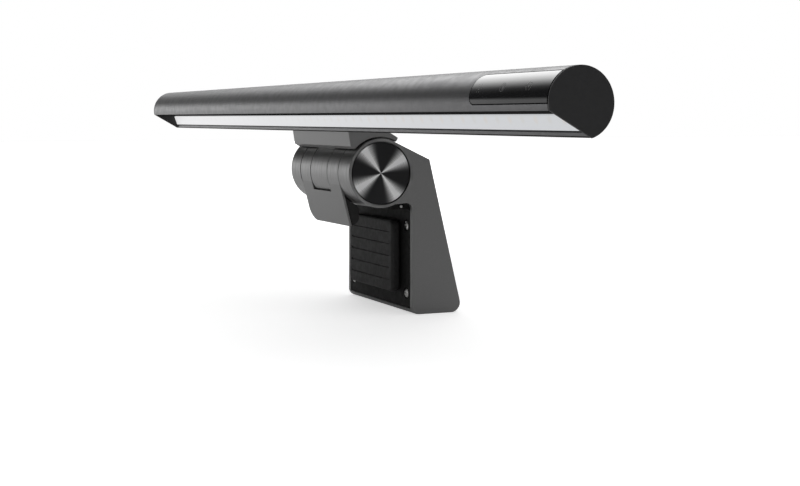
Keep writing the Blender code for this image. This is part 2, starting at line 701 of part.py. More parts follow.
def build_driver_parts(looks, parent, place):
    """Driver board with its components, and the power socket at the bar's back."""
    top = DRIVER_Z + DRIVER_THICKNESS
    low = (DRIVER_START_X, DRIVER_FRONT_Y, DRIVER_Z)
    high = (DRIVER_END_X, DRIVER_BACK_Y, top)
    board = new_object("driver_board", box_mesh("driver_board", low, high), looks["green_board"],
                       parent, place)
    blocks = []
    for x, y, length, width, height in DRIVER_COMPONENTS:
        low = Vector((x - length / 2, y - width / 2, 0)) * MM
        high = Vector((x + length / 2, y + width / 2, height)) * MM
        low.z = top - GAP
        high.z += top
        blocks.append(box_mesh("tool", low, high))
    add(board, merged_mesh("tool", blocks))

    back = SOCKET_MOUTH_Y - SOCKET_LENGTH
    z = socket_z()
    shell_low = (SOCKET_X - SOCKET_WIDTH / 2, back, z - SOCKET_HEIGHT / 2)
    shell_high = (SOCKET_X + SOCKET_WIDTH / 2, SOCKET_MOUTH_Y, z + SOCKET_HEIGHT / 2)
    socket = new_object("usb_socket", box_mesh("usb_socket", shell_low, shell_high), looks["steel"],
                        parent, place)
    inner_low = Vector(shell_low) + Vector((SOCKET_WALL, SOCKET_BACK_WALL, SOCKET_WALL))
    inner_high = Vector(shell_high) + Vector((-SOCKET_WALL, BEYOND, -SOCKET_WALL))
    cut(socket, box_mesh("tool", inner_low, inner_high))
    tongue_low = (SOCKET_X - TONGUE_HALF_WIDTH, back + SOCKET_BACK_WALL / 2, z - TONGUE_HALF_THICKNESS)
    tongue_high = (SOCKET_X + TONGUE_HALF_WIDTH, SOCKET_MOUTH_Y, z + TONGUE_HALF_THICKNESS)
    add(socket, box_mesh("tool", tongue_low, tongue_high))


def build_leads(look, parent, place):
    """Short leads inside the bar, from the driver board to the light board and the touch board."""
    for name, (start, end, bow, radius) in (("touch_lead", TOUCH_LEAD), ("light_lead", LIGHT_LEAD)):
        path = bowed_path(start, end, bow, 12)
        new_object(name, tube_path_mesh(name, path, radius, WIRE_SIDES), look, parent, place)


def bowed_path(start, end, bow, steps):
    """Straight run between two points, bowed in the middle."""
    path = []
    for i in range(steps + 1):
        share = i / steps
        path.append(start.lerp(end, share) + bow * math.sin(math.pi * share))
    return path


def saddle_outline():
    """Hood section: hugs the bar above, clears the barrel below, and ends in a tail at the back."""
    bar = Vector((BAR_Y, BAR_Z))
    contact = BAR_RADIUS + GAP
    rear = line_meets_circle(SADDLE_TAIL_TOP, SADDLE_REAR_TOP, contact, bar)
    front = line_meets_circle(SADDLE_FRONT_BOTTOM, SADDLE_FRONT_TOP, contact, bar)
    outline = [SADDLE_TAIL_TOP]
    outline += arc(contact, angle_of(rear - bar), angle_of(front - bar), HOOD_TOP_STEPS, bar)
    outline.append(SADDLE_FRONT_BOTTOM)
    outline += arc(SADDLE_CLEARANCE_RADIUS, SADDLE_BEVEL_ANGLE, SADDLE_TAIL_ANGLE, HOOD_BOTTOM_STEPS)
    return outline


def build_saddle(looks, parent):
    mesh = prism_mesh("lamp_saddle", saddle_outline(), -SADDLE_HALF_LENGTH, SADDLE_HALF_LENGTH)
    saddle = new_object("lamp_saddle", mesh, looks["grey_metal"], parent)
    half = LAMP_JOINT_X - JOINT_HALF_GAP
    add(saddle, cylinder_x(BARREL_RADIUS, -half, half))
    neck = arc(NECK_INNER_RADIUS, *NECK_ANGLES, NECK_STEPS)
    neck += arc(NECK_OUTER_RADIUS, *reversed(NECK_ANGLES), NECK_STEPS)
    add(saddle, prism_mesh("tool", neck, -half + 0.01 * MM, half - 0.01 * MM))
    seat = half - WASHER_SEAT_DEPTH
    beyond = half + BEYOND
    cut_round(saddle, turned_tool([(-beyond, 0), (-beyond, WASHER_SEAT_RADIUS), (-seat, WASHER_SEAT_RADIUS),
                                   (-seat, BUSH_SEAT_RADIUS), (seat, BUSH_SEAT_RADIUS),
                                   (seat, WASHER_SEAT_RADIUS), (beyond, WASHER_SEAT_RADIUS),
                                   (beyond, 0)]))
    hole_profile = [
        (SADDLE_HOLE_START, 0),
        (SADDLE_HOLE_START, SADDLE_HOLE_RADIUS),
        (SADDLE_COUNTERBORE_START, SADDLE_HOLE_RADIUS),
        (SADDLE_COUNTERBORE_START, SADDLE_COUNTERBORE_RADIUS),
        (SADDLE_COUNTERBORE_END, SADDLE_COUNTERBORE_RADIUS),
        (SADDLE_COUNTERBORE_END, 0),
    ]
    for side, name in ((-1, "left"), (1, "right")):
        middle = Vector((side * SADDLE_SCREW_X, BAR_Y, BAR_Z))
        hole = turned_tool(hole_profile, BUSH_SIDES)
        cut_round(saddle, turned_to(hole, radial(SADDLE_SCREW_ANGLE), middle))
        screw = screw_mesh(f"saddle_screw_{name}", *SADDLE_SCREW)
        head = middle + radial(SADDLE_SCREW_ANGLE) * SADDLE_SCREW_HEAD
        screw = turned_to(screw, -radial(SADDLE_SCREW_ANGLE), head)
        new_object(f"saddle_screw_{name}", screw, looks["steel"], parent)
        ends = sorted((side * LAMP_BUSH_INNER_X, side * (seat - GAP)))
        bush = ring_profile(SHAFT_BORE_RADIUS, BUSH_RADIUS, *ends)
        new_object(f"lamp_bush_{name}", turned_mesh(f"lamp_bush_{name}", bush, BUSH_SIDES), looks["brass"],
                   parent)


# --- Clip -----------------------------------------------------------------------------------------

def clip_line():
    """Tangent point and bottom of the clip plate's outer face."""
    tangent = polar(BARREL_RADIUS, CLIP_TANGENT_ANGLE)
    down = polar(1, CLIP_TANGENT_ANGLE + 90)
    bottom = tangent + down * ((CLIP_BOTTOM_Z - tangent.y) / down.y)
    return tangent, bottom


def clip_corner_tool(margin):
    """Outside of the plate's rounded lower left corner, as a block with a quarter ellipse taken out."""
    width = CLIP_CORNER_WIDTH + margin
    height = CLIP_CORNER_HEIGHT + margin
    left = -CLIP_HALF_LENGTH
    middle = Vector((left + width, CLIP_BOTTOM_Z + height))
    outline = [Vector((left - BEYOND, middle.y)), Vector((left - BEYOND, CLIP_BOTTOM_Z - BEYOND)),
               Vector((middle.x, CLIP_BOTTOM_Z - BEYOND))]
    for i in range(CLIP_CORNER_STEPS + 1):
        angle = math.radians(270 - 90 * i / CLIP_CORNER_STEPS)
        outline.append(middle + Vector((width * math.cos(angle), height * math.sin(angle))))
    outline[-1].x -= BEYOND / 2
    shape = bmesh.new()
    depth = FRONT_PAD_Y + BEYOND - CLIP_FRONT_Y
    face = shape.faces.new([shape.verts.new((p.x, CLIP_FRONT_Y, p.y)) for p in outline])
    extruded = bmesh.ops.extrude_face_region(shape, geom=[face])
    moved = [item for item in extruded["geom"] if isinstance(item, bmesh.types.BMVert)]
    bmesh.ops.translate(shape, verts=moved, vec=(0, depth, 0))
    return finish_mesh("tool", shape)


def build_front_clip(looks, parent):
    """Plate hanging from two knuckles, with a notch that shows the lamp's knuckle."""
    tangent, bottom = clip_line()
    inner_top, inner_bottom = shifted(tangent, bottom, CLIP_THICKNESS)
    inner_bottom = line_meets_line(inner_top, inner_bottom, bottom, bottom + Vector((1, 0)))
    mesh = prism_mesh("front_clip", [tangent, bottom, inner_bottom, inner_top], -CLIP_HALF_LENGTH,
                      CLIP_HALF_LENGTH)
    clip = new_object("front_clip", mesh, looks["grey_metal"], parent)
    inside = LAMP_JOINT_X + JOINT_HALF_GAP
    for side in (-1, 1):
        ends = sorted((side * inside, side * CLIP_HALF_LENGTH))
        add(clip, cylinder_x(BARREL_RADIUS, *ends))
    cut(clip, cylinder_x(SWEEP_RADIUS, -inside, inside))
    cut(clip, box_mesh("tool", (-inside, CLIP_FRONT_Y, CLIP_NOTCH_Z), (inside, 0, BARREL_RADIUS)))
    cut(clip, clip_corner_tool(0))
    for side in (-1, 1):
        outer = CLIP_HALF_LENGTH
        profile = [
            (inside - BEYOND, 0),
            (inside - BEYOND, WASHER_SEAT_RADIUS),
            (inside + WASHER_SEAT_DEPTH, WASHER_SEAT_RADIUS),
            (inside + WASHER_SEAT_DEPTH, SPRING_POCKET_RADIUS),
            (SPRING_POCKET_X, SPRING_POCKET_RADIUS),
            (SPRING_POCKET_X, BUSH_SEAT_RADIUS),
            (outer - WASHER_SEAT_DEPTH, BUSH_SEAT_RADIUS),
            (outer - WASHER_SEAT_DEPTH, WASHER_SEAT_RADIUS),
            (outer + BEYOND, WASHER_SEAT_RADIUS),
            (outer + BEYOND, 0),
        ]
        cut_round(clip, turned_tool([(side * x, radius) for x, radius in profile]))


def build_clip_parts(looks, parent):
    """Rubber pad behind the plate, and a bush and a torsion spring in each knuckle."""
    tangent, bottom = clip_line()
    front_top, front_bottom = shifted(tangent, bottom, CLIP_THICKNESS + GAP)
    start = line_meets_circle(front_bottom, front_top, SWEEP_RADIUS)
    foot = line_meets_line(front_top, front_bottom, Vector((0, FRONT_PAD_BOTTOM_Z)),
                           Vector((1, FRONT_PAD_BOTTOM_Z)))
    end_angle = -math.degrees(math.acos((FRONT_PAD_Y - FRONT_PAD_CHAMFER) / SWEEP_RADIUS))
    face_top = Vector((FRONT_PAD_Y, FRONT_PAD_FACE_TOP_Z))
    low_back = Vector((FRONT_PAD_Y, FRONT_PAD_BOTTOM_Z))
    outline = arc(SWEEP_RADIUS, angle_of(start), end_angle, PAD_TOP_STEPS)
    outline.append(face_top)
    outline += rounded(face_top, low_back, foot, FRONT_PAD_CORNER)
    outline.append(foot)
    half = CLIP_HALF_LENGTH - FRONT_PAD_INSET
    mesh = prism_mesh("front_pad", outline, -half, half)
    pad = new_object("front_pad", mesh, looks["black_rubber"], parent)
    cut(pad, clip_corner_tool(FRONT_PAD_INSET))
    inside = LAMP_JOINT_X + JOINT_HALF_GAP + WASHER_SEAT_DEPTH + GAP
    outside = CLIP_HALF_LENGTH - WASHER_SEAT_DEPTH - GAP
    for side, name in ((-1, "left"), (1, "right")):
        ends = sorted((side * inside, side * outside))
        profile = ring_profile(SHAFT_BORE_RADIUS, BUSH_RADIUS, *ends)
        bush = turned_mesh(f"clip_bush_{name}", profile, BUSH_SIDES)
        new_object(f"clip_bush_{name}", bush, looks["brass"], parent)
        path = coil_path(SPRING_COIL_RADIUS, side * SPRING_START_X, side * SPRING_END_X, SPRING_TURNS, 14)
        out = path[-1].copy()
        out.x = 0
        path.append(path[-1] + out.normalized() * SPRING_TAIL)
        spring = tube_path_mesh(f"torsion_spring_{name}", path, SPRING_WIRE_RADIUS, WIRE_SIDES)
        new_object(f"torsion_spring_{name}", spring, looks["steel"], parent)


# --- Clamp ----------------------------------------------------------------------------------------

def back_line():
    """Two points on the housing's sloping back."""
    drop = HOUSING_CORNER.y - HOUSING_BOTTOM_Z
    lean = drop * math.tan(math.radians(HOUSING_BACK_SLOPE))
    return HOUSING_CORNER, Vector((HOUSING_CORNER.x + lean, HOUSING_BOTTOM_Z))


def top_tangent():
    """Point where the housing's sloping top leaves the barrel."""
    distance = HOUSING_CORNER.length
    lift = math.degrees(math.acos(BARREL_RADIUS / distance))
    return polar(BARREL_RADIUS, angle_of(HOUSING_CORNER) + lift)


def housing_outline():
    """Side profile of the housing's arm, without the barrel's knuckles."""
    corner, low_back = back_line()
    top = top_tangent()
    low_front = Vector((THROAT_BACK_Y, HOUSING_BOTTOM_Z))
    inner_corner = Vector((THROAT_BACK_Y, THROAT_CEILING_Z))
    outline = [top]
    outline += rounded(top, corner, low_back, HOUSING_TOP_ROUNDING, 4)
    outline += rounded(corner, low_back, low_front, HOUSING_BACK_ROUNDING)
    outline += rounded(low_back, low_front, inner_corner, HOUSING_FRONT_ROUNDING)
    outline += rounded(low_front, inner_corner, CEILING_FRONT, THROAT_CORNER)
    outline.append(CEILING_FRONT)
    return outline


def cavity_outline():
    """Hollow of the housing, open to the throat side, with a wall around the barrel."""
    corner, low_back = back_line()
    top = top_tangent()
    roof = shifted(corner, top, HOUSING_WALL)
    back = shifted(low_back, corner, HOUSING_WALL)
    floor_z = HOUSING_BOTTOM_Z + HOUSING_WALL
    floor = (Vector((0, floor_z)), Vector((1, floor_z)))
    barrel_wall = SWEEP_RADIUS + HOUSING_WALL
    roof_start = line_meets_circle(roof[0] + (roof[0] - roof[1]), roof[1], barrel_wall)
    low_angle = -math.degrees(math.asin(-THROAT_CEILING_Z / barrel_wall))
    outline = [Vector((COVER_FRONT_Y, floor_z)), line_meets_line(*back, *floor)]
    outline.append(line_meets_line(*back, *roof))
    outline += arc(barrel_wall, angle_of(roof_start), low_angle, CAVITY_STEPS)
    outline.append(Vector((COVER_FRONT_Y, THROAT_CEILING_Z)))
    return outline


def build_rear_housing(look, parent):
    """Shell behind the monitor, with the barrel's two end knuckles."""
    mesh = prism_mesh("rear_housing", housing_outline(), -BARREL_HALF_LENGTH, BARREL_HALF_LENGTH)
    housing = new_object("rear_housing", mesh, look, parent)
    inside = BARREL_HALF_LENGTH - HOUSING_WALL
    cut(housing, prism_mesh("tool", cavity_outline(), -inside, inside))
    middle = CLIP_JOINT_X + JOINT_HALF_GAP
    for side in (-1, 1):
        ends = sorted((side * middle, side * BARREL_HALF_LENGTH))
        add(housing, cylinder_x(BARREL_RADIUS, *ends))
    cut(housing, cylinder_x(SWEEP_RADIUS, -middle, middle))
    cut(housing, box_mesh("tool", (-middle, 0, 0), (middle, SLOT_BACK_Y, SLOT_TOP_Z)))
    for side in (-1, 1):
        profile = [
            (middle - BEYOND, 0),
            (middle - BEYOND, WASHER_SEAT_RADIUS),
            (middle + WASHER_SEAT_DEPTH, WASHER_SEAT_RADIUS),
            (middle + WASHER_SEAT_DEPTH, SHAFT_BORE_RADIUS),
            (END_POCKET_X, SHAFT_BORE_RADIUS),
            (END_POCKET_X, END_POCKET_RADIUS),
            (CAP_SEAT_X, END_POCKET_RADIUS),
            (CAP_SEAT_X, CAP_SEAT_RADIUS),
            (BARREL_HALF_LENGTH + BEYOND, CAP_SEAT_RADIUS),
            (BARREL_HALF_LENGTH + BEYOND, 0),
        ]
        cut_round(housing, turned_tool([(side * x, radius) for x, radius in profile]))
    bosses = []
    for x, z in screw_places():
        start = THROAT_BACK_Y + COVER_THICKNESS + GAP
        depth = start + BOSS_BORE_DEPTH
        end = back_inner_y(z) + HOUSING_WALL / 2
        profile = [(depth, 0), (depth, BOSS_BORE_RADIUS), (start, BOSS_BORE_RADIUS), (start, BOSS_RADIUS),
                   (end, BOSS_RADIUS), (end, 0)]
        boss = turned_mesh("tool", profile, SCREW_SIDES)
        bosses.append(turned_to(boss, (0, 1, 0), (x, 0, z)))
    add(housing, merged_mesh("tool", bosses)).solver = "MANIFOLD"


def screw_places():
    rows = (COVER_SCREW_TOP_Z, COVER_SCREW_BOTTOM_Z)
    return [(side * COVER_SCREW_X, z) for z in rows for side in (-1, 1)]


def back_inner_y(z):
    """Y of the inside of the housing's back wall at a height."""
    low, high = shifted(*reversed(back_line()), HOUSING_WALL)
    return line_meets_line(low, high, Vector((0, z)), Vector((1, z))).x


def build_inner_cover(looks, parent):
    """Black L-shaped cover: closes the housing's front and forms the seat over the monitor's edge."""
    clear = SWEEP_RADIUS + 0.05 * MM
    start_angle = -math.degrees(math.acos(COVER_FRONT_Y / clear))
    end_angle = -math.degrees(math.asin(-COVER_TOP_Z / clear))
    back = THROAT_BACK_Y + COVER_THICKNESS
    outline = [Vector((COVER_FRONT_Y, COVER_UNDERSIDE_Z))]
    outline += rounded(Vector((COVER_FRONT_Y, COVER_UNDERSIDE_Z)),
                       Vector((THROAT_BACK_Y, COVER_UNDERSIDE_Z)),
                       Vector((THROAT_BACK_Y, COVER_BOTTOM_Z)), COVER_ROUNDING, 5)
    outline += [Vector((THROAT_BACK_Y, COVER_BOTTOM_Z)), Vector((back, COVER_BOTTOM_Z)),
                Vector((back, COVER_TOP_Z))]
    outline += arc(clear, end_angle, start_angle, COVER_TOP_STEPS)
    mesh = prism_mesh("inner_cover", outline, -COVER_HALF_LENGTH, COVER_HALF_LENGTH)
    cover = new_object("inner_cover", mesh, looks["black_plastic"], parent)
    pocket = SEAT_PAD_HALF_LENGTH + GAP
    cut(cover, box_mesh("tool", (-pocket, SEAT_POCKET_FRONT_Y, COVER_UNDERSIDE_Z - BEYOND),
                        (pocket, SEAT_PAD_BACK_Y + GAP, SEAT_POCKET_Z)))
    for x, z in screw_places():
        seat = THROAT_BACK_Y + COVER_COUNTERSINK_DEPTH
        profile = [(THROAT_BACK_Y - BEYOND, 0), (THROAT_BACK_Y - BEYOND, COVER_COUNTERSINK_RADIUS),
                   (seat, COVER_COUNTERSINK_RADIUS), (seat, COVER_HOLE_RADIUS),
                   (back + BEYOND, COVER_HOLE_RADIUS), (back + BEYOND, 0)]
        cut_round(cover, turned_to(turned_tool(profile, SCREW_SIDES), (0, 1, 0), (x, 0, z)))
    for side in (-1, 1):
        pit = cylinder_x(SEAT_SCREW_PIT_RADIUS, side * (COVER_HALF_LENGTH - SEAT_SCREW_PIT_DEPTH),
                         side * (COVER_HALF_LENGTH + BEYOND), SCREW_SIDES)
        pit.transform(Matrix.Translation((0, SEAT_SCREW_Y, SEAT_SCREW_Z)))
        cut_round(cover, pit)


def build_clamp_fasteners(looks, parent):
    """Screws of the cover, the weight and the seat."""
    for number, (x, z) in enumerate(screw_places(), 1):
        screw = screw_mesh(f"cover_screw_{number}", *COVER_SCREW)
        screw = turned_to(screw, (0, 1, 0), (x, THROAT_BACK_Y + COVER_SCREW[1], z))
        new_object(f"cover_screw_{number}", screw, looks["steel"], parent)
    for side, name in ((-1, "left"), (1, "right")):
        screw = screw_mesh(f"seat_screw_{name}", *SEAT_SCREW)
        head = Vector((side * (COVER_HALF_LENGTH - SEAT_SCREW_HEAD_DEPTH), SEAT_SCREW_Y, SEAT_SCREW_Z))
        screw = turned_to(screw, (-side, 0, 0), head)
        new_object(f"seat_screw_{name}", screw, looks["steel"], parent)


def build_weight_and_pads(looks, parent):
    back = shifted(*reversed(back_line()), HOUSING_WALL + WEIGHT_CLEARANCE)
    level_top = (Vector((0, WEIGHT_TOP_Z)), Vector((1, WEIGHT_TOP_Z)))
    level_bottom = (Vector((0, WEIGHT_BOTTOM_Z)), Vector((1, WEIGHT_BOTTOM_Z)))
    outline = [Vector((WEIGHT_FRONT_Y, WEIGHT_BOTTOM_Z)), line_meets_line(*back, *level_bottom),
               line_meets_line(*back, *level_top), Vector((WEIGHT_FRONT_Y, WEIGHT_TOP_Z))]
    mesh = prism_mesh("counterweight", outline, -WEIGHT_HALF_LENGTH, WEIGHT_HALF_LENGTH)
    weight = new_object("counterweight", mesh, looks["steel"], parent)
    step = WEIGHT_FRONT_Y + WEIGHT_COUNTERBORE_DEPTH
    wall = back_inner_y(WEIGHT_SCREW_Z)
    profile = [(WEIGHT_FRONT_Y - BEYOND, 0), (WEIGHT_FRONT_Y - BEYOND, WEIGHT_COUNTERBORE_RADIUS),
               (step, WEIGHT_COUNTERBORE_RADIUS), (step, WEIGHT_HOLE_RADIUS),
               (wall + BEYOND, WEIGHT_HOLE_RADIUS), (wall + BEYOND, 0)]
    for side, name in ((-1, "left"), (1, "right")):
        x = side * WEIGHT_SCREW_X
        hole = turned_tool(profile, SCREW_SIDES)
        cut_round(weight, turned_to(hole, (0, 1, 0), (x, 0, WEIGHT_SCREW_Z)))
        reach = wall - WEIGHT_FRONT_Y - WEIGHT_SCREW_END_GAP
        screw = screw_mesh(f"weight_screw_{name}", *WEIGHT_SCREW_HEAD, reach)
        screw = turned_to(screw, (0, 1, 0), (x, WEIGHT_FRONT_Y + WEIGHT_SCREW_HEAD_DEPTH, WEIGHT_SCREW_Z))
        new_object(f"weight_screw_{name}", screw, looks["steel"], parent)

    seat = box_mesh("seat_pad", (-SEAT_PAD_HALF_LENGTH, SEAT_PAD_FRONT_Y, -HINGE_Z),
                    (SEAT_PAD_HALF_LENGTH, SEAT_PAD_BACK_Y, SEAT_POCKET_Z - GAP))
    new_object("seat_pad", seat, looks["black_rubber"], parent)
    rear = box_mesh("rear_pad", (-REAR_PAD_HALF_LENGTH, REAR_PAD_Y, REAR_PAD_BOTTOM_Z),
                    (REAR_PAD_HALF_LENGTH, THROAT_BACK_Y - GAP, REAR_PAD_TOP_Z))
    pad = new_object("rear_pad", rear, looks["black_rubber"], parent)
    bevel = pad.modifiers.new("Bevel", "BEVEL")
    bevel.width = REAR_PAD_BEVEL
    bevel.segments = 2


def build_hinge_parts(looks, parent):
    """Shaft with a head at the left, washers, nut and the two end discs."""
    under_head = -END_POCKET_X - GAP
    profile = [
        (SHAFT_HEAD_X, 0),
        (SHAFT_HEAD_X, SHAFT_HEAD_RADIUS),
        (under_head, SHAFT_HEAD_RADIUS),
        (under_head, SHAFT_RADIUS),
        (SHAFT_END_X - SHAFT_CHAMFER, SHAFT_RADIUS),
        (SHAFT_END_X, SHAFT_RADIUS - SHAFT_CHAMFER),
        (SHAFT_END_X, 0),
    ]
    new_object("hinge_shaft", turned_mesh("hinge_shaft", profile, BUSH_SIDES), looks["steel"], parent)
    for number, dish in ((1, DISHED_WASHER_DISH), (2, -DISHED_WASHER_DISH)):
        start = END_POCKET_X + GAP + (number - 1) * DISHED_WASHER_PITCH
        rim = start + max(-dish, 0)
        hub = start + max(dish, 0)
        profile = [
            (hub, SHAFT_BORE_RADIUS),
            (rim, DISHED_WASHER_RADIUS),
            (rim + DISHED_WASHER_THICKNESS, DISHED_WASHER_RADIUS),
            (hub + DISHED_WASHER_THICKNESS, SHAFT_BORE_RADIUS),
        ]
        name = f"spring_washer_{number}"
        new_object(name, turned_mesh(name, profile, BUSH_SIDES), looks["steel"], parent)
    hexagon = [polar(NUT_RADIUS, 60 * i) for i in range(6)]
    nut_mesh = prism_mesh("hinge_nut", hexagon, NUT_START_X, NUT_END_X)
    nut = new_object("hinge_nut", nut_mesh, looks["steel"], parent)
    cut_round(nut, cylinder_x(SHAFT_BORE_RADIUS, NUT_START_X - BEYOND, NUT_END_X + BEYOND, BUSH_SIDES))
    number = 0
    for joint in (LAMP_JOINT_X, CLIP_JOINT_X):
        for side in (-1, 1):
            number += 1
            ends = (side * joint - WASHER_THICKNESS / 2, side * joint + WASHER_THICKNESS / 2)
            name = f"friction_washer_{number}"
            ring = turned_mesh(name, ring_profile(SHAFT_BORE_RADIUS, WASHER_RADIUS, *ends), SEAT_SIDES)
            new_object(name, ring, looks["black_plastic"], parent)
    for side, name in ((-1, "hinge_cap_left"), (1, "hinge_cap_right")):
        profile = [(CAP_INNER_X, 0), (CAP_INNER_X, CAP_RADIUS), (CAP_OUTER_X - CAP_CHAMFER, CAP_RADIUS),
                   (CAP_OUTER_X, CAP_RADIUS - CAP_CHAMFER), (CAP_OUTER_X, 0)]
        disc = turned_mesh(name, [(side * x, radius) for x, radius in profile], BARREL_SIDES)
        new_object(name, disc, looks["spun_metal"], parent)


# --- Assembly -------------------------------------------------------------------------------------

def clear_scene():
    for item in list(bpy.data.objects):
        bpy.data.objects.remove(item, do_unlink=True)


def hinge_empty(name):
    empty = bpy.data.objects.new(name, None)
    bpy.context.collection.objects.link(empty)
    empty.location = (0, HINGE_Y, HINGE_Z)
    return empty


def main():
    clear_scene()
    looks = make_materials()

    clamp = hinge_empty("clamp_on_hinge_axis")
    build_rear_housing(looks["grey_metal"], clamp)
    build_inner_cover(looks, clamp)
    build_clamp_fasteners(looks, clamp)
    build_weight_and_pads(looks, clamp)
    build_hinge_parts(looks, clamp)

    clip = hinge_empty("clip_on_hinge_axis")
    build_front_clip(looks, clip)
    build_clip_parts(looks, clip)

    lamp = hinge_empty("lamp_on_hinge_axis")
    bar = (0, BAR_Y, BAR_Z)
    build_lamp_tube(looks["dark_aluminium"], lamp, bar)
    build_end_cap("end_cap_left", -1, looks["black_plastic"], lamp, bar)
    build_end_cap("end_cap_right", 1, looks["black_plastic"], lamp, bar)
    build_diffuser(looks["white_diffuser"], lamp, bar)
    build_led_board(looks["white_board"], lamp, bar)
    build_touch_parts(looks, lamp, bar)
    build_driver_parts(looks, lamp, bar)
    build_leads(looks["black_cable"], lamp, bar)
    build_saddle(looks, lamp)


main()
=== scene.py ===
"""Looks of the monitor light bar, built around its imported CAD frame. Lengths are metres.

Sections across the bar are drawn as (Y, Z) points, seen from the hinge axis or from the bar's axis, and
are extruded along X. Every piece keeps its place in its mesh, with its object at the frame's origin.
"""

import json
import math
from functools import reduce

import bmesh
import bpy
from mathutils import Matrix, Vector


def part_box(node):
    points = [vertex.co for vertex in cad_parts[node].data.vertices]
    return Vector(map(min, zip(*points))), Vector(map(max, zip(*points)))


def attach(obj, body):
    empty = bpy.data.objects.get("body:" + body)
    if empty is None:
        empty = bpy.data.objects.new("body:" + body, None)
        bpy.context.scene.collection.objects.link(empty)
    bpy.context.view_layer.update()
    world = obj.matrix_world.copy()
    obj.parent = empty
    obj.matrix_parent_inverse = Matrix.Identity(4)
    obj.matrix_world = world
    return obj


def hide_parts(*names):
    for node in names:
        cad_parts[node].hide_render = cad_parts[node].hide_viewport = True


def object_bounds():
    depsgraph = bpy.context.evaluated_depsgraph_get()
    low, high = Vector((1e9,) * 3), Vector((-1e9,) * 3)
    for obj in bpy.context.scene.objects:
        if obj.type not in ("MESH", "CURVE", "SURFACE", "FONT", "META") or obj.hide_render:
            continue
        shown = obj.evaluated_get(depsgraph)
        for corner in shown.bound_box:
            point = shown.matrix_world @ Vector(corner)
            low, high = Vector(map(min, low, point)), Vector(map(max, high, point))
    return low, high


MM = 0.001
ARC_STEP = 2.5
EDGE_STEPS = 4
SHARP_ANGLE = math.radians(28)
SQUARE = ((-1, -1), (1, -1), (1, 1), (-1, 1))
ROUND_SIDES = 144
SEAT_SIDES = 72
SCREW_SIDES = 48
HOLE_SIDES = 36

# How far a cutter reaches past what it cuts
BEYOND = 2.0 * MM

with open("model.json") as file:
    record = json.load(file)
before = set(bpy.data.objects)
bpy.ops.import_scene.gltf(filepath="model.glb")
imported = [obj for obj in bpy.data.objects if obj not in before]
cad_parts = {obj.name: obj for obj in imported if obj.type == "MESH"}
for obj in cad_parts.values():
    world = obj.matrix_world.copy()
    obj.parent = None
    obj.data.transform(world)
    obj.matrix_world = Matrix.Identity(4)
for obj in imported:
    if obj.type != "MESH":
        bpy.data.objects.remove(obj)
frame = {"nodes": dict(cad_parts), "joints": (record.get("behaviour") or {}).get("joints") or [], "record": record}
cad_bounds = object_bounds()

# --- Driving sizes, from the frame ----------------------------------------------------------------

HINGE = Vector(next(joint["pos_m"] for joint in frame["joints"] if joint["name"] == "lamp_tilt"))

CAP_LOW, CAP_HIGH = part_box("end_cap_right")
BAR_RADIUS = (CAP_HIGH.y - CAP_LOW.y) / 2
BAR = Vector((0, (CAP_LOW.y + CAP_HIGH.y) / 2, CAP_HIGH.z - BAR_RADIUS))
BAR_END_X = CAP_HIGH.x
TUBE_END_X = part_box("lamp_tube")[1].x
DIFFUSER_END_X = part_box("diffuser")[1].x

HOUSING_LOW, HOUSING_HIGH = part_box("rear_housing")
BARREL_RADIUS = HINGE.y - HOUSING_LOW.y
BARREL_END_X = HOUSING_HIGH.x
CLIP_END_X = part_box("front_clip")[1].x
KNUCKLE_GAP = 0.5 * MM
CLIP_JOINT_X = CLIP_END_X + KNUCKLE_GAP / 2
LAMP_JOINT_X = sum(corner.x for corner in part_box("friction_washer_2")) / 2
SWEEP_GAP = 0.4 * MM
SWEEP_RADIUS = BARREL_RADIUS + SWEEP_GAP
HOUSING_BOTTOM = HOUSING_LOW.z - HINGE.z
SADDLE_END_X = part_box("lamp_saddle")[1].x

# --- Shapes that the frame's boxes don't give -----------------------------------------------------

# Bar section, seen from the bar's axis; angles run from +Y towards +Z
BAR_WALL = 1.3 * MM
BAR_INNER_RADIUS = BAR_RADIUS - BAR_WALL
FRONT_LIP_ANGLE = 192.8
REAR_LIP_ANGLE = -71.8
REAR_LIP_SWEEP = 5.8
REAR_LIP_INNER_ANGLE = REAR_LIP_ANGLE + REAR_LIP_SWEEP
LIP_ROUNDING = 0.25 * MM
WELL_CORNER = Vector((1.1, -3.1)) * MM
WELL_FOOT = Vector((3.1, -8.4)) * MM
CEILING_THICKNESS = 1.2 * MM
DIFFUSER_THICKNESS = 1.2 * MM
LED_DOWN_WALL = 1.8 * MM
LED_PITCH = 8.0 * MM
LED_SPOT = (0.3 * MM, 1.9 * MM)

# Rounded edges around the ends of extruded pieces
TUBE_EDGE = 0.08 * MM
FINE_EDGE = 0.1 * MM
PLATE_EDGE = 0.3 * MM

# Painted shade on the tube, black in its colour: the well's ceiling in shadow, inside its skin above a height, and
# the rear lip's shaded edge, below another height before a Y
PAINTED_SHADE_WITHIN = (BAR_RADIUS - 0.2 * MM, BAR_RADIUS - 0.1 * MM)
PAINTED_SHADE_ABOVE = (-4.2 * MM, -4.0 * MM)
PAINTED_SHADE_BELOW = (-9.45 * MM, -9.2 * MM)
PAINTED_SHADE_BEFORE = (4.0 * MM, 5.0 * MM)

# Diffuser section, as distances down the well's steep wall
DIFFUSER_START = 0.35 * MM
DIFFUSER_BACK_END = 4.9 * MM
DIFFUSER_FRONT_END = 5.15 * MM
DIFFUSER_CORNER = 0.15 * MM

# End caps' plugs
PLUG_LENGTH = 8.0 * MM
PLUG_ANGLES = (2, 168)
PLUG_CLEARANCE = 0.4 * MM
PLUG_OVERLAP = 0.5 * MM
CAP_GAP = 0.05 * MM

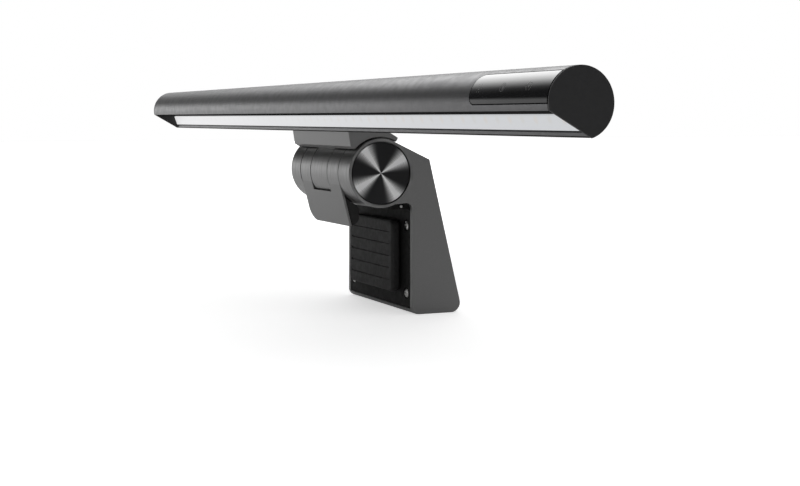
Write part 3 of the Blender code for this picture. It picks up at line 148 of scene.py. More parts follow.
# Touch panel
TOUCH_START_X = 176.2 * MM
TOUCH_ANGLE = 151.2
TOUCH_HALF_WIDTH = 5.07 * MM
TOUCH_CORNER = 3.0 * MM
TOUCH_GAP = 0.3 * MM
TOUCH_FLOOR = 6.7 * MM
TOUCH_SPREAD = 48.0

# Marks printed on the touch panel: a ring's and a dot's radii, rays, and how deep and high the print lies
ICON_ANGLE = 153.0
ICON_STEP = 8.0
ICONS_X = (181.0 * MM, 196.0 * MM, 211.6 * MM)
ICON_RING = (1.25 * MM, 1.5 * MM)
ICON_PINHOLE = 0.02 * MM
ICON_DOTS = (0.6 * MM, 0.95 * MM, 0.45 * MM)
ICON_RAY = 0.2 * MM
ICON_RAY_HALF_ANGLE = 7
ICON_OPEN_RING = (115, 425)
ICON_DEPTH = -0.02 * MM
ICON_LIFT = 0.015 * MM

# Power socket
SOCKET_GAP = 0.3 * MM
SOCKET_CUT = 3.0 * MM
SOCKET_WALL = 0.35 * MM
SOCKET_FLOOR = 1.0 * MM
TONGUE_HALF_WIDTH = 3.3 * MM
TONGUE_HALF_HEIGHT = 0.35 * MM
TONGUE_ENDS = (0.5 * MM, 0.3 * MM)

# Saddle section, seen from the hinge axis
SADDLE_CLEARANCE = 14.7 * MM
SADDLE_FRONT_TOP = Vector((-13.9, 16.9)) * MM
SADDLE_FRONT_BOTTOM = Vector((-12.9, 11.0)) * MM
SADDLE_BEVEL_ANGLE = 137.9
SADDLE_TAIL_ANGLE = 60.5
SADDLE_TAIL_TOP = Vector((8.0, 14.4)) * MM
SADDLE_REAR_TOP = Vector((-10.4, 25.4)) * MM
SADDLE_CONTACT_GAP = 0.3 * MM
TAIL_ROUNDING = 0.35 * MM
HOOD_FRONT_ROUNDING = 0.4 * MM
NECK_RADII = (12.0 * MM, 15.6 * MM)
NECK_ANGLES = (72, 137.5)
NECK_INSET = 0.2 * MM

# Screws through the hood into the bar, as distances from the bar's axis
SADDLE_SCREW_X = 28.0 * MM
SADDLE_SCREW_ANGLE = -40.0
TUBE_HOLE_RADIUS = 1.5 * MM
SADDLE_HOLE_START = 8.0 * MM
SADDLE_HOLE_RADIUS = 1.45 * MM
SADDLE_HEAD_SEAT = 16.9 * MM
SADDLE_HEAD_HOLE_RADIUS = 2.4 * MM
SADDLE_HOLE_END = 22.0 * MM
SADDLE_SCREW_HEAD = 17.2 * MM

# Clip plate and its pad, seen from the hinge axis
CLIP_TANGENT_ANGLE = 194.7
CLIP_BOTTOM = -22.2 * MM
CLIP_THICKNESS = 1.0 * MM
CLIP_NOTCH = -8.3 * MM
CLIP_CORNER = (8.0 * MM, 6.3 * MM)
CLIP_CORNER_STEPS = 24
CLIP_CORNER_CUT = (-18.0 * MM, -0.5 * MM)
CLIP_CORNER_OVERLAP = 0.5 * MM
CLIP_FRONT_ROUNDING = 0.3 * MM
CLIP_REAR_ROUNDING = 0.2 * MM
NOTCH_FRONT_Y = -20.0 * MM
NOTCH_TOP = 10.0 * MM
PAD_GAP = 0.1 * MM
PAD_BACK_Y = -4.5 * MM
PAD_FACE_TOP = -15.1 * MM
PAD_TOP_LEAN = 1.0 * MM
PAD_BOTTOM = -21.6 * MM
PAD_CORNER = 2.95 * MM
PAD_TOP_ROUNDING = 0.5 * MM
PAD_EDGE = 0.4 * MM
PAD_CORNER_MARGIN = 0.5 * MM

# Housing section, seen from the hinge axis
HOUSING_WALL = 2.1 * MM
HOUSING_CORNER = Vector((21.6, 5.4)) * MM
HOUSING_BACK_SLOPE = 13.3
HOUSING_EDGE = 0.25 * MM
HOUSING_TOP_ROUNDING = 0.8 * MM
HOUSING_FOOT_ROUNDINGS = (4.0 * MM, 3.0 * MM)
HOUSING_THROAT_ROUNDING = 2.5 * MM
LARGE_ROUNDING_STEPS = 10
CEILING_FRONT = Vector((6.0, -12.75)) * MM
THROAT_CEILING = -12.2 * MM
THROAT_BACK_Y = 13.7 * MM
COVER_FRONT_Y = 5.7 * MM
COVER_TOP = -12.6 * MM
COVER_UNDERSIDE = -15.0 * MM
COVER_BOTTOM = -55.8 * MM
COVER_THICKNESS = 1.6 * MM
COVER_GAP = 0.05 * MM
COVER_ROUNDING = 1.2 * MM
COVER_EDGE = 0.2 * MM
SEAT_PAD_GAP = 0.3 * MM

# Holes in the inner cover: radius and depth
COVER_HOLE = (1.5 * MM, 3.0 * MM)
COVER_HEAD_HOLE = (2.3 * MM, 1.1 * MM)
SEAT_SCREW_PIT = (1.0 * MM, 3.2 * MM)

# Clamp pads: corner radius and edge rounding, and the rear pad's grooves
SEAT_PAD_SHAPE = (1.5 * MM, 0.25 * MM)
REAR_PAD_SHAPE = (3.0 * MM, 1.2 * MM)
GROOVES = 5
GROOVE_DEPTH = 0.4 * MM
GROOVE_HALF_FLOOR = 0.2 * MM
GROOVE_HALF_MOUTH = 0.6 * MM
GROOVE_MOUTH_LIFT = 1.0 * MM
GROOVE_MARGIN = 3.0 * MM

# Where brushing gives way to paint around the barrel, and the depths of the finishes' textures
BRUSHED_WITHIN = (BARREL_RADIUS + 0.03 * MM, BARREL_RADIUS + 0.12 * MM)
FINE_DEPTH = 0.02 * MM
COARSE_DEPTH = 0.03 * MM
WAVE_DEPTH = 0.05 * MM

# Spun discs
DISC_CHAMFER = 0.2 * MM
DIMPLE_RADIUS = 0.45 * MM
DIMPLE_FLOOR_RADIUS = 0.2 * MM
DIMPLE_DEPTH = 0.12 * MM

# Screws: head height, shank radius and shank length
COVER_SCREW = (0.8 * MM, 1.15 * MM, 8.0 * MM)
SEAT_SCREW = (0.6 * MM, 0.45 * MM, 1.9 * MM)
SADDLE_SCREW = (1.5 * MM, 1.1 * MM, 8.5 * MM)
SADDLE_SCREW_HEAD_RADIUS = 2.0 * MM
SCREW_TIP = 0.5 * MM

# Screw nodes; the seat's have the side that they are on
COVER_SCREWS = [f"cover_screw_{number}" for number in (1, 2, 3, 4)]
SEAT_SCREWS = ((-1, "seat_screw_left"), (1, "seat_screw_right"))

# The housing's slot for the hood's tail, over the barrel: its back and its top
TOP_SLOT = (11.0 * MM, 20.0 * MM)

# Slight turns of the round cutters that clear the knuckles, so that no two edges coincide
CLIP_CUT_TURN = 0.6
HOUSING_CUT_TURN = 0.9

# Seats in the barrel; a pair is a radius and the X of its floor
WASHER_SEAT_RADIUS = 11.0 * MM
WASHER_SEAT_DEPTH = 0.7 * MM
BUSH_SEAT_RADIUS = 5.0 * MM
SHAFT_BORE_RADIUS = 3.36 * MM
SPRING_POCKET = (9.5 * MM, 19.5 * MM)
END_POCKET = (9.0 * MM, 26.5 * MM)
CAP_SEAT = (13.0 * MM, 33.2 * MM)

# Studio: the brightness of each part of the surroundings, the floor's glow in reflections from left to
# right, and half the floor's width in metres
CEILING_LIGHT = 0.8
STRIP_LIGHT = 3.9
FILL_LIGHT = 0.42
FRONT_LIGHT = 2.6
FAR_FRONT_LIGHT = 0.6
RIGHT_LIGHT = 0.15
ROOM_LIGHT = 0.05
FLOOR_GLOW = (0.62, 0.1)
FLOOR_HALF = 4.0

# Camera: its place from the hinge, its turn about the vertical, and its lens
CAMERA_PLACE = Vector((546.1, -216.1, 22.4)) * MM
CAMERA_TURN = 66.29
CAMERA_LENS = 61.48
CAMERA_SENSOR = 36
CAMERA_SHIFT = -0.156

# --- Outlines -------------------------------------------------------------------------------------


def polar(radius, degrees, centre=Vector((0, 0))):
    """Point at an angle from +Y towards +Z."""
    angle = math.radians(degrees)
    return centre + radius * Vector((math.cos(angle), math.sin(angle)))


def arc(radius, start, end, centre=Vector((0, 0))):
    """Points on an arc, both ends included, angles in degrees."""
    steps = max(2, math.ceil(abs(end - start) / ARC_STEP))
    return [polar(radius, start + (end - start) * i / steps, centre) for i in range(steps + 1)]


def angle_of(point):
    return math.degrees(math.atan2(point.y, point.x))


def line_meets_circle(start, toward, radius, centre=Vector((0, 0))):
    """Where the line from start towards another point first meets a circle."""
    direction = (toward - start).normalized()
    across = start - centre
    half = across.dot(direction)
    root = math.sqrt(half * half - across.dot(across) + radius * radius)
    return start + direction * (-half - root)


def line_meets_line(a, b, c, d):
    first = b - a
    second = d - c
    cross = first.x * second.y - first.y * second.x
    return a + first * ((c - a).x * second.y - (c - a).y * second.x) / cross


def shifted(a, b, distance):
    """The line through a and b, moved to its left side by a distance."""
    direction = (b - a).normalized()
    left = Vector((-direction.y, direction.x)) * distance
    return a + left, b + left


def level(height):
    """Two points on a level line."""
    return Vector((0, height)), Vector((1, height))


def fillet(before, corner, after, radius, steps=6):
    """Points of a rounded corner between two straight edges."""
    to_before = (before - corner).normalized()
    to_after = (after - corner).normalized()
    half_angle = to_before.angle(to_after) / 2
    reach = radius / math.tan(half_angle)
    centre = corner + (to_before + to_after).normalized() * radius / math.sin(half_angle)
    first = corner + to_before * reach - centre
    last = corner + to_after * reach - centre
    sweep = (angle_of(last) - angle_of(first) + 180) % 360 - 180
    return [polar(radius, angle_of(first) + sweep * i / steps, centre) for i in range(steps + 1)]


def rounded_outline(corners):
    """Closed outline from (point, radius) corners; a radius of zero keeps the corner sharp."""
    points = []
    for i, (corner, radius) in enumerate(corners):
        before = corners[i - 1][0]
        after = corners[(i + 1) % len(corners)][0]
        points += fillet(before, corner, after, radius) if radius else [corner]
    return points


def anticlockwise(outline):
    """The outline without repeated points, turned to run anticlockwise."""
    points = [p for i, p in enumerate(outline) if (p - outline[i - 1]).length > 1e-7]
    area = sum(a.x * b.y - b.x * a.y for a, b in zip(points, points[1:] + points[:1]))
    return points if area > 0 else points[::-1]


def inset(outline, distance):
    """An anticlockwise outline moved inwards along its corners' mitres."""
    moved = []
    for i, point in enumerate(outline):
        before = (point - outline[i - 1]).normalized()
        after = (outline[(i + 1) % len(outline)] - point).normalized()
        inward = Vector((-before.y - after.y, before.x + after.x))
        moved.append(point + inward * distance / max(0.35, 1 + before.dot(after)))
    return moved


# --- Meshes ---------------------------------------------------------------------------------------


def closed_mesh(name, shape):
    bmesh.ops.recalc_face_normals(shape, faces=shape.faces)
    mesh = bpy.data.meshes.new(name)
    shape.to_mesh(mesh)
    shape.free()
    return mesh


def bridged(name, rings, endless=False):
    """Skin over rings of equal length, with a flat face at each end or joined into an endless loop."""
    shape = bmesh.new()
    loops = [[shape.verts.new(point) for point in ring] for ring in rings]
    following = loops[1:] + loops[:1] if endless else loops[1:]
    for first, second in zip(loops, following):
        for i in range(len(first)):
            j = (i + 1) % len(first)
            shape.faces.new((first[i], first[j], second[j], second[i]))
    if not endless:
        shape.faces.new(loops[0])
        shape.faces.new(loops[-1])
    return closed_mesh(name, shape)


def extrusion(outline, start_x, end_x, edge=0.0):
    """Extrudes an outline along X, with rounded edges around both end faces."""
    outline = anticlockwise(outline)
    turns = [math.radians(90 * k / EDGE_STEPS) for k in range(EDGE_STEPS + 1)] if edge else [math.pi / 2]
    ends = [(edge * (1 - math.cos(t)) if edge else 0.0, edge * (1 - math.sin(t))) for t in turns]
    rings = []
    for along, inwards in ends:
        rings.append([(start_x + along, p.x, p.y) for p in inset(outline, inwards)])
    for along, inwards in reversed(ends):
        rings.append([(end_x - along, p.x, p.y) for p in inset(outline, inwards)])
    return bridged("extrusion", rings)


def turned(profile, segments=ROUND_SIDES, first_angle=0.0):
    """Turns a closed profile of (x, radius) points about the X axis; a ring when no radius is zero."""
    shape = bmesh.new()
    rings = []
    for x, radius in profile:
        count = segments if radius else 1
        angles = [math.radians(first_angle + 360 * i / segments) for i in range(count)]
        rings.append([shape.verts.new((x, radius * math.cos(a), radius * math.sin(a))) for a in angles])
    closed = all(radius for _, radius in profile)
    for first, second in list(zip(rings, rings[1:])) + ([(rings[-1], rings[0])] if closed else []):
        for i in range(segments):
            j = (i + 1) % segments
            corners = [first[i % len(first)], first[j % len(first)]]
            corners += [second[j % len(second)], second[i % len(second)]]
            unique = list(dict.fromkeys(corners))
            if len(unique) > 2:
                shape.faces.new(unique)
    return closed_mesh("turned", shape)


def softened(profile, radius, kept=()):
    """A turned profile with its corners rounded, apart from its ends on the axis and the kept ones."""
    points = [Vector(point) for point in profile]
    closed = all(point.y for point in points)
    result = []
    for i, point in enumerate(points):
        end = not closed and i in (0, len(points) - 1)
        if end or i in kept:
            result.append(point)
        else:
            result += fillet(points[i - 1], point, points[(i + 1) % len(points)], radius, EDGE_STEPS)
    return [(point.x, point.y) for point in result]


def block(low, high):
    outline = [Vector((low[1], low[2])), Vector((high[1], low[2])), Vector((high[1], high[2])),
               Vector((low[1], high[2]))]
    return extrusion(outline, low[0], high[0])


def cylinder(radius, start_x, end_x, segments=ROUND_SIDES, first_angle=0.0):
    profile = [(start_x, 0), (start_x, radius), (end_x, radius), (end_x, 0)]
    return turned(profile, segments, first_angle)


def stepped_hole(start_x, radius, step_x, step_radius, end_x):
    """Cutter for a round hole that changes its radius once along X."""
    return turned([(start_x, 0), (start_x, radius), (step_x, radius), (step_x, step_radius),
                   (end_x, step_radius), (end_x, 0)], SCREW_SIDES)


def combined(base, *steps):
    """Applies Booleans in order; each step is (operation, mesh)."""
    target = bpy.data.objects.new("target", base)
    bpy.context.scene.collection.objects.link(target)
    tools = []
    for operation, mesh in steps:
        tool = bpy.data.objects.new("tool", mesh)
        bpy.context.scene.collection.objects.link(tool)
        modifier = target.modifiers.new("Boolean", "BOOLEAN")
        modifier.operation = operation
        modifier.object = tool
        modifier.solver = "MANIFOLD"
        tools.append(tool)
    bpy.context.view_layer.update()
    depsgraph = bpy.context.evaluated_depsgraph_get()
    result = bpy.data.meshes.new_from_object(target.evaluated_get(depsgraph))
    for item in [target] + tools:
        bpy.data.objects.remove(item, do_unlink=True)
    return result


def cut(base, *tools):
    return combined(base, *(("DIFFERENCE", tool) for tool in tools))


def joined(base, *others):
    return combined(base, *(("UNION", other) for other in others))


def moved(mesh, offset):
    mesh.transform(Matrix.Translation(offset))
    return mesh


def aimed(mesh, direction, origin):
    """Turns a mesh made along X to point along a direction, then moves it to its origin."""
    turn = Vector((1, 0, 0)).rotation_difference(Vector(direction)).to_matrix().to_4x4()
    mesh.transform(Matrix.Translation(origin) @ turn)
    return mesh


def laid(mesh, out, along, across, origin):
    """Maps a mesh's X, Y and Z onto three given directions."""
    turn = Matrix((out, along, across)).transposed()
    mesh.transform(Matrix.Translation(origin) @ turn.to_4x4())
    if turn.determinant() < 0:
        mesh.flip_normals()
    return mesh


def radial(degrees):
    point = polar(1, degrees)
    return Vector((0, point.x, point.y))


def add_piece(name, mesh, looks, body, slot, stands_for=(), look=None):
    """Puts a finished mesh in the scene, on its body, in place of its CAD nodes."""
    mesh.name = name
    mesh.materials.clear()
    mesh.materials.append(looks[look or slot])
    mesh.shade_smooth()
    mesh.set_sharp_from_angle(angle=SHARP_ANGLE)
    piece = bpy.data.objects.new(name, mesh)
    bpy.context.scene.collection.objects.link(piece)
    weighted = piece.modifiers.new("Flat faces stay flat", "WEIGHTED_NORMAL")
    weighted.keep_sharp = True
    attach(piece, body)
    if stands_for:
        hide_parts(*stands_for)
    return piece


# --- Material nodes -------------------------------------------------------------------------------


class Nodes:
    """A node tree with short calls for the nodes that the finishes and the studio share."""

    def __init__(self, tree):
        self.tree = tree

    def feed(self, socket, value):
        if isinstance(value, bpy.types.NodeSocket):
            self.tree.links.new(value, socket)
        else:
            socket.default_value = value

    def maths(self, operation, *values):
        node = self.tree.nodes.new("ShaderNodeMath")
        node.operation = operation
        for socket, value in zip(node.inputs, values):
            self.feed(socket, value)
        return node.outputs[0]

    def plus(self, *values):
        return reduce(lambda first, second: self.maths("ADD", first, second), values)

    def minus(self, first, second):
        return self.maths("SUBTRACT", first, second)

    def times(self, *values):
        return reduce(lambda first, second: self.maths("MULTIPLY", first, second), values)

    def distance(self, across, up):
        return self.maths("SQRT", self.plus(self.times(across, across), self.times(up, up)))

    def fade(self, value, low, high, at_low=0.0, at_high=1.0):
        """Smooth step of a value from one output to another."""
        node = self.tree.nodes.new("ShaderNodeMapRange")
        node.interpolation_type = "SMOOTHSTEP"
        for socket, number in zip(node.inputs, (value, low, high, at_low, at_high)):
            self.feed(socket, number)
        return node.outputs[0]


class Look(Nodes):
    """A material with the parts of its finish."""

    def __init__(self, name, colour, roughness, metallic=0.0):
        self.material = bpy.data.materials.new(name)
        self.material.use_nodes = True
        super().__init__(self.material.node_tree)
        self.shader = self.tree.nodes["Principled BSDF"]
        self.set("Base Color", (*colour, 1))
        self.set("Roughness", roughness)
        self.set("Metallic", metallic)
        self.place = self.tree.nodes.new("ShaderNodeTexCoord").outputs["Object"]

    def set(self, name, value):
        self.feed(self.shader.inputs[name], value)

    def axes(self, centre):
        """X, Y and Z of the shaded point, seen from a centre."""
        shift = self.tree.nodes.new("ShaderNodeVectorMath")
        shift.operation = "SUBTRACT"
        self.feed(shift.inputs[0], self.place)
        shift.inputs[1].default_value = centre
        split = self.tree.nodes.new("ShaderNodeSeparateXYZ")
        self.feed(split.inputs[0], shift.outputs[0])
        return split.outputs

    def grain(self, scale, detail=2.0, stretch=(1, 1, 1)):
        """Noise from 0 to 1; scale is in features per metre, and a stretch below 1 lengthens them."""
        mapping = self.tree.nodes.new("ShaderNodeMapping")
        self.feed(mapping.inputs["Vector"], self.place)
        mapping.inputs["Scale"].default_value = stretch
        noise = self.tree.nodes.new("ShaderNodeTexNoise")
        self.feed(noise.inputs["Vector"], mapping.outputs[0])
        noise.inputs["Scale"].default_value = scale
        noise.inputs["Detail"].default_value = detail
        return noise.outputs[0]

    def mix(self, share, first, second):
        node = self.tree.nodes.new("ShaderNodeMix")
        node.data_type = "RGBA"
        for socket, value in ((node.inputs[0], share), (node.inputs[6], first), (node.inputs[7], second)):
            self.feed(socket, (*value, 1) if isinstance(value, tuple) and len(value) == 3 else value)
        return node.outputs[2]

    def bump(self, height, strength, depth=FINE_DEPTH):
        node = self.tree.nodes.new("ShaderNodeBump")
        node.inputs["Strength"].default_value = strength
        node.inputs["Distance"].default_value = depth
        self.feed(node.inputs["Height"], height)
        if self.shader.inputs["Normal"].is_linked:
            self.feed(node.inputs["Normal"], self.shader.inputs["Normal"].links[0].from_socket)
        self.set("Normal", node.outputs[0])

    def vary(self, name, noise, low, high):
        """Drives one shader input from a noise, between two values."""
        self.set(name, self.fade(noise, 0.3, 0.7, low, high))


def tinted(colour, factor):
    """A colour made darker or lighter."""
    return tuple(channel * factor for channel in colour)


def anodised(name, colour, roughness):
    """Anodised aluminium with faint draw lines; painted shade makes the well's ceiling and the rear lip's lower
    edge black.
    """
    look = Look(name, colour, roughness, 0.85)
    y, z = look.axes(BAR)[1:]
    # painted shade: black on the well's ceiling, which lies in shadow, and on the rear lip's shaded lower edge
    within = look.fade(look.distance(y, z), *PAINTED_SHADE_WITHIN, 1.0, 0.0)
    inside = look.times(within, look.fade(z, *PAINTED_SHADE_ABOVE))
    lip_shade_height = look.fade(z, *PAINTED_SHADE_BELOW, 1.0, 0.0)
    painted_lip_shade = look.times(lip_shade_height, look.fade(y, *PAINTED_SHADE_BEFORE, 1.0, 0.0))
    black = look.maths("MAXIMUM", inside, painted_lip_shade)
    metal = look.mix(look.grain(900), tinted(colour, 0.9), tinted(colour, 1.1))
    look.set("Base Color", look.mix(black, metal, (0.03, 0.03, 0.03)))
    look.set("Metallic", look.fade(black, 0, 1, 0.85, 0.0))
    look.set("Specular IOR Level", look.fade(black, 0, 1, 0.5, 0.0))
    look.vary("Roughness", look.grain(300), roughness - 0.03, roughness + 0.04)
    look.bump(look.grain(4500), 0.12)
    look.bump(look.grain(1800, 1, (0.02, 1, 1)), 0.08)
    return look.material


def satin_metal(name, colour, roughness):
    """Satin grey paint on the plates and brushing around the barrel, with dust-fine speckle."""
    look = Look(name, colour, roughness, 0.75)
    y, z = look.axes(HINGE)[1:]
    on_barrel = look.fade(look.distance(y, z), *BRUSHED_WITHIN, 1.0, 0.0)
    strokes = look.grain(3000, 3, (1, 0.03, 0.03))
    brushed = look.mix(look.fade(strokes, 0.25, 0.75), tinted(colour, 0.72), tinted(colour, 1.3))
    painted = look.mix(look.grain(2200), tinted(colour, 0.94), tinted(colour, 1.06))
    look.set("Base Color", look.mix(on_barrel, painted, brushed))
    look.set("Roughness", look.fade(on_barrel, 0, 1, roughness, roughness - 0.08))
    look.bump(look.times(strokes, on_barrel), 0.35)
    look.bump(look.grain(3800), 0.08)
    return look.material


def spun_metal(name):
    """Disc turned on a lathe with fine rings, and two crossed lines of light painted into its colour as painted
    highlights.
    """
    look = Look(name, (0.2, 0.2, 0.2), 0.3, 0.8)
    y, z = look.axes(HINGE)[1:]
    angle = look.maths("ARCTAN2", z, y)
    rings = look.tree.nodes.new("ShaderNodeTexNoise")
    rings.noise_dimensions = "1D"
    look.feed(rings.inputs["W"], look.distance(y, z))
    rings.inputs["Scale"].default_value = 5200
    rings.inputs["Detail"].default_value = 3
    painted_rays = []
    # painted highlights: two crossed rays of light at fixed angles, baked into the base colour
    for degrees in (31.0, 127.0):
        off = look.maths("ABSOLUTE", look.maths("SINE", look.minus(angle, math.radians(degrees))))
        glow = look.fade(off, 0.0, 0.54, 1.0, 0.0)
        painted_ray_core = look.fade(off, 0.0, 0.16, 0.55, 0.0)
        painted_rays += [look.maths("POWER", glow, 1.8), painted_ray_core]
    shimmer = look.fade(rings.outputs[0], 0.25, 0.75, 0.75, 1.25)
    share = look.maths("MINIMUM", look.times(look.plus(*painted_rays), shimmer), 1.0)
    # base colour: dark metal lit by the painted highlights of the rays
    look.set("Base Color", look.mix(share, (0.02, 0.02, 0.021), (0.95, 0.95, 0.95)))
    look.set("Anisotropic", 0.7)
    tangent = look.tree.nodes.new("ShaderNodeTangent")
    tangent.direction_type = "RADIAL"
    tangent.axis = "X"
    look.set("Tangent", tangent.outputs[0])
    look.bump(rings.outputs[0], 0.25)
    return look.material


def moulded(name, colour, roughness, texture=0.3, shine=0.5):
    """Matt moulded plastic with the fine leather-like texture of an eroded mould."""
    look = Look(name, colour, roughness)
    look.set("Specular IOR Level", shine)
    look.set("Base Color", look.mix(look.grain(1200), tinted(colour, 0.9), tinted(colour, 1.12)))
    look.vary("Roughness", look.grain(500), roughness - 0.05, roughness + 0.05)
    look.bump(look.grain(3200, 4), texture, COARSE_DEPTH)
    return look.material


def rubber(name, colour):
    return moulded(name, colour, 0.72, 0.5)


def gloss(name, colour):
    """Hard gloss panel with the slight waviness of a moulded window."""
    look = Look(name, colour, 0.05)
    look.set("IOR", 1.8)
    look.set("Base Color", look.mix(look.grain(90), colour, tinted(colour, 1.4)))
    look.vary("Roughness", look.grain(160), 0.04, 0.08)
    look.bump(look.grain(45, 0), 0.05, WAVE_DEPTH)
    return look.material


def machined(name, colour, roughness):
    """Bright turned or pressed metal with fine random scratches."""
    look = Look(name, colour, roughness, 1.0)
    look.set("Base Color", look.mix(look.grain(1500), tinted(colour, 0.82), colour))
    look.vary("Roughness", look.grain(2500, 3, (1, 0.2, 1)), roughness - 0.08, roughness + 0.1)
    look.bump(look.grain(5000), 0.1)
    return look.material


def circuit_board(name, colour, track):
    """Solder mask with lighter tracks."""
    look = Look(name, colour, 0.35)
    voronoi = look.tree.nodes.new("ShaderNodeTexVoronoi")
    voronoi.distance = "MANHATTAN"
    voronoi.feature = "DISTANCE_TO_EDGE"
    look.feed(voronoi.inputs["Vector"], look.place)
    voronoi.inputs["Scale"].default_value = 700
    lines = look.fade(voronoi.outputs[0], 0.04, 0.08, 1.0, 0.0)
    look.set("Base Color", look.mix(lines, colour, track))
    look.bump(lines, 0.3, COARSE_DEPTH)
    return look.material


def diffuser_look(name):
    """Milky strip that glows a little, with a faint warm or cool spot over every light."""
    look = Look(name, (0.8, 0.8, 0.8), 0.45)
    x, y, z = look.axes(BAR)
    down = (WELL_FOOT - WELL_CORNER).normalized()
    along_y = look.times(look.minus(y, WELL_CORNER.x), down.x)
    along_z = look.times(look.minus(z, WELL_CORNER.y), down.y)
    cell = look.maths("DIVIDE", x, LED_PITCH)
    off_x = look.times(look.minus(look.maths("FRACT", cell), 0.5), LED_PITCH)
    off_wall = look.minus(look.plus(along_y, along_z), LED_DOWN_WALL)
    spot = look.fade(look.distance(off_x, off_wall), *LED_SPOT, 1.0, 0.0)
    warm_turn = look.maths("FLOORED_MODULO", look.maths("FLOOR", cell), 2.0)
    spot_colour = look.mix(warm_turn, (0.62, 0.56, 0.50), (0.56, 0.55, 0.52))
    towards_right = look.fade(x, -BAR_END_X, BAR_END_X)
    strip = look.mix(towards_right, (0.80, 0.80, 0.81), (0.60, 0.615, 0.635))
    look.set("Base Color", (0.25, 0.25, 0.25, 1))
    look.set("Specular IOR Level", 0.2)
    share = look.times(spot, look.fade(towards_right, 0.3, 0.9, 0.1, 0.45))
    look.set("Emission Color", look.mix(share, strip, spot_colour))
    look.set("Emission Strength", 0.85)
    look.bump(look.grain(2600), 0.05)
    return look.material


def make_looks():
    return {
        "dark_aluminium": anodised("anodised_aluminium", (0.13, 0.13, 0.133), 0.36),
        "grey_metal": satin_metal("satin_grey_metal", (0.21, 0.21, 0.21), 0.42),
        "spun_metal": spun_metal("spun_disc"),
        "black_plastic": moulded("matt_black_plastic", (0.016, 0.016, 0.017), 0.55),
        # black plastic made darker than the caps' as painted shade, for the shadow in the throat
        "shade_darkened_black": moulded("soft_black_cover", (0.007, 0.007, 0.007), 0.7, 0.3, 0.2),
        "gloss_black": gloss("gloss_black_panel", (0.006, 0.006, 0.007)),
        "white_diffuser": diffuser_look("milky_diffuser"),
        "black_rubber": rubber("black_rubber", (0.012, 0.012, 0.012)),
        "steel": machined("bright_steel", (0.55, 0.55, 0.54), 0.28),
        "brass": machined("turned_brass", (0.62, 0.43, 0.17), 0.3),
        "green_board": circuit_board("green_board", (0.015, 0.10, 0.04), (0.05, 0.22, 0.09)),
        "white_board": circuit_board("white_board", (0.75, 0.75, 0.72), (0.62, 0.62, 0.58)),
        "black_cable": moulded("cable_insulation", (0.015, 0.015, 0.015), 0.5),
        "icon": moulded("printed_grey", (0.10, 0.10, 0.10), 0.3, 0.05),
    }


# --- Lamp -----------------------------------------------------------------------------------------


def wall_point(along, behind):
    """Point behind the well's steep wall: a distance down the wall, and a distance into the bar."""
    down = (WELL_FOOT - WELL_CORNER).normalized()
    return WELL_CORNER + down * along + Vector((-down.y, down.x)) * behind


def lip_corner(angle, other_edge, side):
    """Rounded lip between the bar's outer arc and a straight edge; side is the arc's way to the lip."""
    lip = polar(BAR_RADIUS, angle)
    along_arc = polar(1, angle - 90 * side)
    return fillet(lip + along_arc * MM, lip, other_edge, LIP_ROUNDING)


def outer_arc():
    """The bar's round outside between its two rounded lips."""
    margin = math.degrees(1.3 * LIP_ROUNDING / BAR_RADIUS)
    return arc(BAR_RADIUS, REAR_LIP_ANGLE + margin, FRONT_LIP_ANGLE - margin)


def tube_section():
    front_lip = polar(BAR_RADIUS, FRONT_LIP_ANGLE)
    top_start, top_end = shifted(front_lip, WELL_CORNER, CEILING_THICKNESS)
    inner_start = line_meets_circle(top_start + (top_start - top_end), top_end, BAR_INNER_RADIUS)
    outline = outer_arc()
    outline += lip_corner(FRONT_LIP_ANGLE, WELL_CORNER, 1)
    outline += [WELL_CORNER, top_end]
    outline += arc(BAR_INNER_RADIUS, angle_of(inner_start) % 360, REAR_LIP_INNER_ANGLE)
    outline.append(WELL_FOOT)
    outline += lip_corner(REAR_LIP_ANGLE, WELL_FOOT, -1)[::-1]
    return outline


def touch_prism(clearance, end_x, low, high, edge=0.0):
    """Rounded rectangle over the touch panel, extruded along the panel's mean direction."""
    half = TOUCH_HALF_WIDTH + clearance
    start = TOUCH_START_X - clearance
    corner = TOUCH_CORNER + clearance
    outline = rounded_outline([(Vector((start, -half)), corner), (Vector((end_x, -half)), 0),
                               (Vector((end_x, half)), 0), (Vector((start, half)), corner)])
    prism = extrusion(outline, low, high, edge)
    return laid(prism, radial(TOUCH_ANGLE), Vector((1, 0, 0)), radial(TOUCH_ANGLE + 90), Vector())


def stadium(width, height):
    radius = height / 2
    straight = width / 2 - radius
    right = arc(radius, -90, 90, Vector((straight, 0)))
    left = arc(radius, 90, 270, Vector((-straight, 0)))
    return right + left


def socket_frame():
    """Middle of the power socket's mouth, and its outer width, height and length."""
    low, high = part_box("usb_socket")
    mouth = Vector(((low.x + high.x) / 2, high.y, (low.z + high.z) / 2))
    return mouth, high.x - low.x, high.z - low.z, high.y - low.y


def towards_back(mesh, origin):
    """Lays a mesh made along X so that it points to the back, with its outline across X and Z."""
    return laid(mesh, Vector((0, 1, 0)), Vector((1, 0, 0)), Vector((0, 0, 1)), origin)


def build_tube(looks):
    tube = moved(extrusion(tube_section(), -TUBE_END_X, TUBE_END_X, TUBE_EDGE), BAR)
    recess = moved(touch_prism(TOUCH_GAP, TUBE_END_X + BEYOND, TOUCH_FLOOR, BAR_RADIUS + BEYOND), BAR)
    mouth, width, height, _ = socket_frame()
    opening = stadium(width + 2 * SOCKET_GAP, height + 2 * SOCKET_GAP)
    slot = towards_back(extrusion(opening, -SOCKET_CUT, SOCKET_CUT), mouth)
    holes = []
    for side in (-1, 1):
        hole = cylinder(TUBE_HOLE_RADIUS, BAR_INNER_RADIUS - BEYOND, BAR_RADIUS + BEYOND, HOLE_SIDES)
        holes.append(aimed(hole, radial(SADDLE_SCREW_ANGLE), BAR + Vector((side * SADDLE_SCREW_X, 0, 0))))
    add_piece("bar_tube", cut(tube, recess, slot, *holes), looks, "lamp", "dark_aluminium", ["lamp_tube"])


